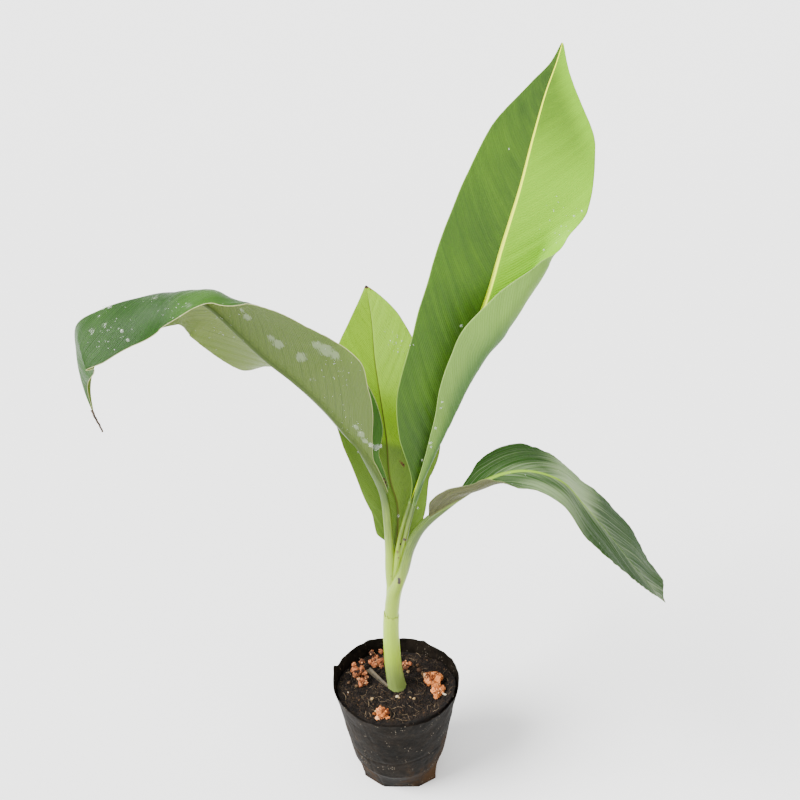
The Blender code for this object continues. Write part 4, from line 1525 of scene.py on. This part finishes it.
def make_leaves():
    """All blades. Inks: deep green, fresh green, midrib, side veins and margin. Deep and fresh green are
    also the colours of the painted shade, light and sheen that each tone lays on.
    """
    upright = make_leaf(
        "upright",
        Leaf(UPRIGHT_LEAF, side=(1, 0, 0), rows=330, columns=(40, 56), rib=(3.3, 0.3),
             slant=(1.2, 1.0), pleat=0.12, wave=1.0, seed=1.0),
        upright_painted_light,
        ["leaf_upright"],
        # On both sides of this blade, deep and fresh green are painted shade and painted light
        dict(inks=[(44, 70, 24), (116, 168, 8), (240, 255, 24), (92, 134, 24), (120, 150, 60)],
             gloss=0.5, shine=0.15, veins=0.12, pleats=0.5, streaks=0.12),
        dict(inks=[(60, 92, 40), (98, 130, 52), (96, 122, 56), (104, 136, 72), (128, 150, 84)],
             gloss=0.5, shine=0.2, veins=0.12, pleats=0.6),
    )
    back = make_leaf(
        "back",
        Leaf(BACK_LEAF, side=(1, 0, 0), rows=220, columns=(40, 44), rib=(2.6, 0.3),
             slant=(1.7, 1.7), pleat=0.14, wave=1.6, seed=2.0),
        back_painted_light,
        ["leaf_back"],
        # Deep green is the painted shadow below, fresh green the painted light above
        dict(inks=[(84, 110, 34), (117, 157, 6), (78, 84, 24), (110, 140, 24), (112, 96, 34)],
             gloss=0.5, shine=0.15, veins=0.14, pleats=0.9, spots=0.35, rib_from=0.45),
        dict(inks=[(84, 106, 42), (90, 112, 44), (96, 106, 50), (100, 118, 56), (112, 104, 52)],
             gloss=0.55, shine=0.2, veins=0.25, pleats=1.2),
    )
    arching = make_leaf(
        "arching",
        Leaf(ARCHING_LEAF, side=(0, 1, 0), rows=340, columns=(48, 44), rib=(3.8, 0.7),
             slant=(1.2, 1.1), pleat=0.12, wave=1.0, seed=3.0),
        arching_tone_and_sheen,
        ["leaf_arching_inner", "leaf_arching_outer", "leaf_arching_tip"],
        # Fresh green also makes the painted sheen before the crest
        dict(inks=[(26, 60, 4), (66, 108, 32), (86, 118, 36), (62, 92, 40), (190, 190, 136)],
             gloss=0.4, shine=0.18, veins=0.25, pleats=1.2),
        dict(inks=[(76, 94, 38), (92, 110, 38), (60, 77, 24), (56, 74, 26), (170, 172, 118)],
             gloss=0.45, shine=0.2, veins=0.5, pleats=1.2),
    )
    drooping = make_leaf(
        "drooping",
        Leaf(DROOPING_LEAF, side=(0, -1, 0), rows=270, columns=(38, 40), rib=(3.0, 0.3),
             slant=(2.4, 2.4), pleat=0.3, wave=0.8, seed=4.0),
        drooping_painted_sheen,
        ["leaf_drooping_inner", "leaf_drooping_outer"],
        # Fresh green and the pale vein ink are painted sheen
        dict(inks=[(39, 69, 20), (150, 172, 124), (116, 150, 40), (158, 172, 138), (88, 110, 50)],
             gloss=0.5, shine=0.1, veins=0.35, pleats=2.2, streaks=0.5, rib_until=0.5),
        dict(inks=[(74, 76, 40), (98, 98, 62), (96, 116, 40), (74, 74, 44), (104, 110, 58)],
             gloss=0.45, shine=0.3, veins=0.4, pleats=1.6),
    )
    return [upright, back, arching, drooping]


def make_stems():
    shade = stem_shade("stem", ink(110, 127, 64), ink(138, 166, 22), ink(130, 148, 54))
    stalk = stem_shade("stalk", ink(128, 154, 24), ink(60, 82, 14), ink(84, 106, 36))
    core = stem_piece()
    finish_piece(core, [shade], ["false_stem"])
    sheath = sheath_piece()
    finish_piece(sheath, [shade])
    pieces = [core, sheath]
    plans = {
        "upright": ((1, 0, 0), 20, 50),
        "arching": ((0, 1, 0), 30, 70),
        "drooping": ((0, -1, 0), 40, 80),
    }
    for name, (side, groove_from, groove_full) in plans.items():
        piece = stalk_piece(f"{name}_stalk", STALKS[name], side, groove_from, groove_full)
        finish_piece(piece, [stalk], [f"stalk_{name}"])
        pieces.append(piece)
    return pieces


def make_ground():
    """Bag, soil, crumbs, fibres and clods."""
    bag = bag_piece()
    finish_piece(bag, [bag_shade()], ["grow_bag"])
    top = soil_top()
    bed = soil_piece(top)
    finish_piece(bed, [soil_shade()], ["soil"])

    cover = surface_to_cover(top[COVERED_RINGS], "cover")
    dark = crumb_shade("crumbs", ink(6, 4, 3), ink(34, 24, 16), ink(84, 62, 42), 0.06)
    fibre = crumb_shade("fibres", ink(28, 20, 14), ink(84, 68, 48), ink(168, 146, 116), 0.2)
    crumbs = grain_garden(
        "crumbs", density=420000, seed=3, smallest=(0.35, 0.35, 0.3), largest=(1.25, 1.25, 0.9),
        material=dark,
    )
    finish_piece(crumbs.grow_on(cover, "soil_crumbs"), [dark])
    strands = fibre_garden(
        "strands", thickness=0.032, tilt=0.5, density=90000, seed=5, smallest=(1.4, 1.2, 1.2),
        largest=(5.6, 4.6, 3.8), material=fibre,
    )
    finish_piece(strands.grow_on(cover, "soil_fibres"), [fibre])
    drop_object(cover)

    red = crumb_shade("red_clods", ink(80, 36, 16), ink(222, 132, 66), ink(250, 208, 160), 0.2)
    brown = crumb_shade("brown_clods", ink(34, 20, 13), ink(168, 98, 58), ink(240, 184, 132), 0.2)
    for number, place in enumerate(CLODS, 1):
        finish = red if number in RED_CLODS else brown
        core = lump_heap(f"clod_core_{number}", clod_lumps(number, place), number)
        density, largest = FIRM_CRUST if number in FIRM_CLODS else LOOSE_CRUST
        grains = grain_garden(
            f"clod_{number}", density=density, seed=number, smallest=(0.25, 0.25, 0.2), largest=largest,
            material=finish,
        )
        crust = grains.grow_on(core, f"clod_crust_{number}")
        finish_piece(core, [finish], [f"clod_{number}"])
        finish_piece(crust, [finish])

    pale = crumb_shade("bits", ink(60, 40, 26), ink(170, 142, 100), ink(226, 212, 188), 0.1)
    lumps = [((x, y, soil_height(x, y) + 0.7 * radius), radius, tone) for x, y, radius, tone in BITS]
    finish_piece(lump_heap("soil_bits", lumps, BITS_SEED), [pale])


def make_litter():
    dried = dried_shade("dried_sheath", ink(30, 24, 15), ink(78, 66, 41), 240.0)
    strip = ribbon_piece("dried_strip", STRIP_PATH, width=5.5, thickness=0.7, hollow=1.6)
    finish_piece(strip, [dried])
    pale = dried_shade("root", ink(140, 126, 100), ink(186, 178, 160), 500.0)
    root = thread_piece("root_end", ROOT_PATH, turns=12, rows=20, roughness=0.08)
    finish_piece(root, [pale])
    thread = thread_piece("dried_thread_fine", THREAD, turns=14, rows=60, roughness=0.22)
    tip = dried_shade("dried_tip", ink(44, 33, 25), ink(84, 68, 50), 300.0)
    finish_piece(thread, [tip], ["dried_thread"])


def main():
    set_stage()
    make_ground()
    make_litter()
    growth = make_leaves() + make_stems()
    lookout = Lookout(growth)
    for trait, places in (("scar", SCARS), ("wet", WET_PATCHES)):
        for across, down, radius, strength in places:
            found = lookout.seen(across, down)
            if found is not None and trait in found[0].data.attributes:
                paint(found[0], trait, found[1], found[2], radius, strength)
    water = water_piece(lookout)
    finish_piece(water, [water_shade()])


main()
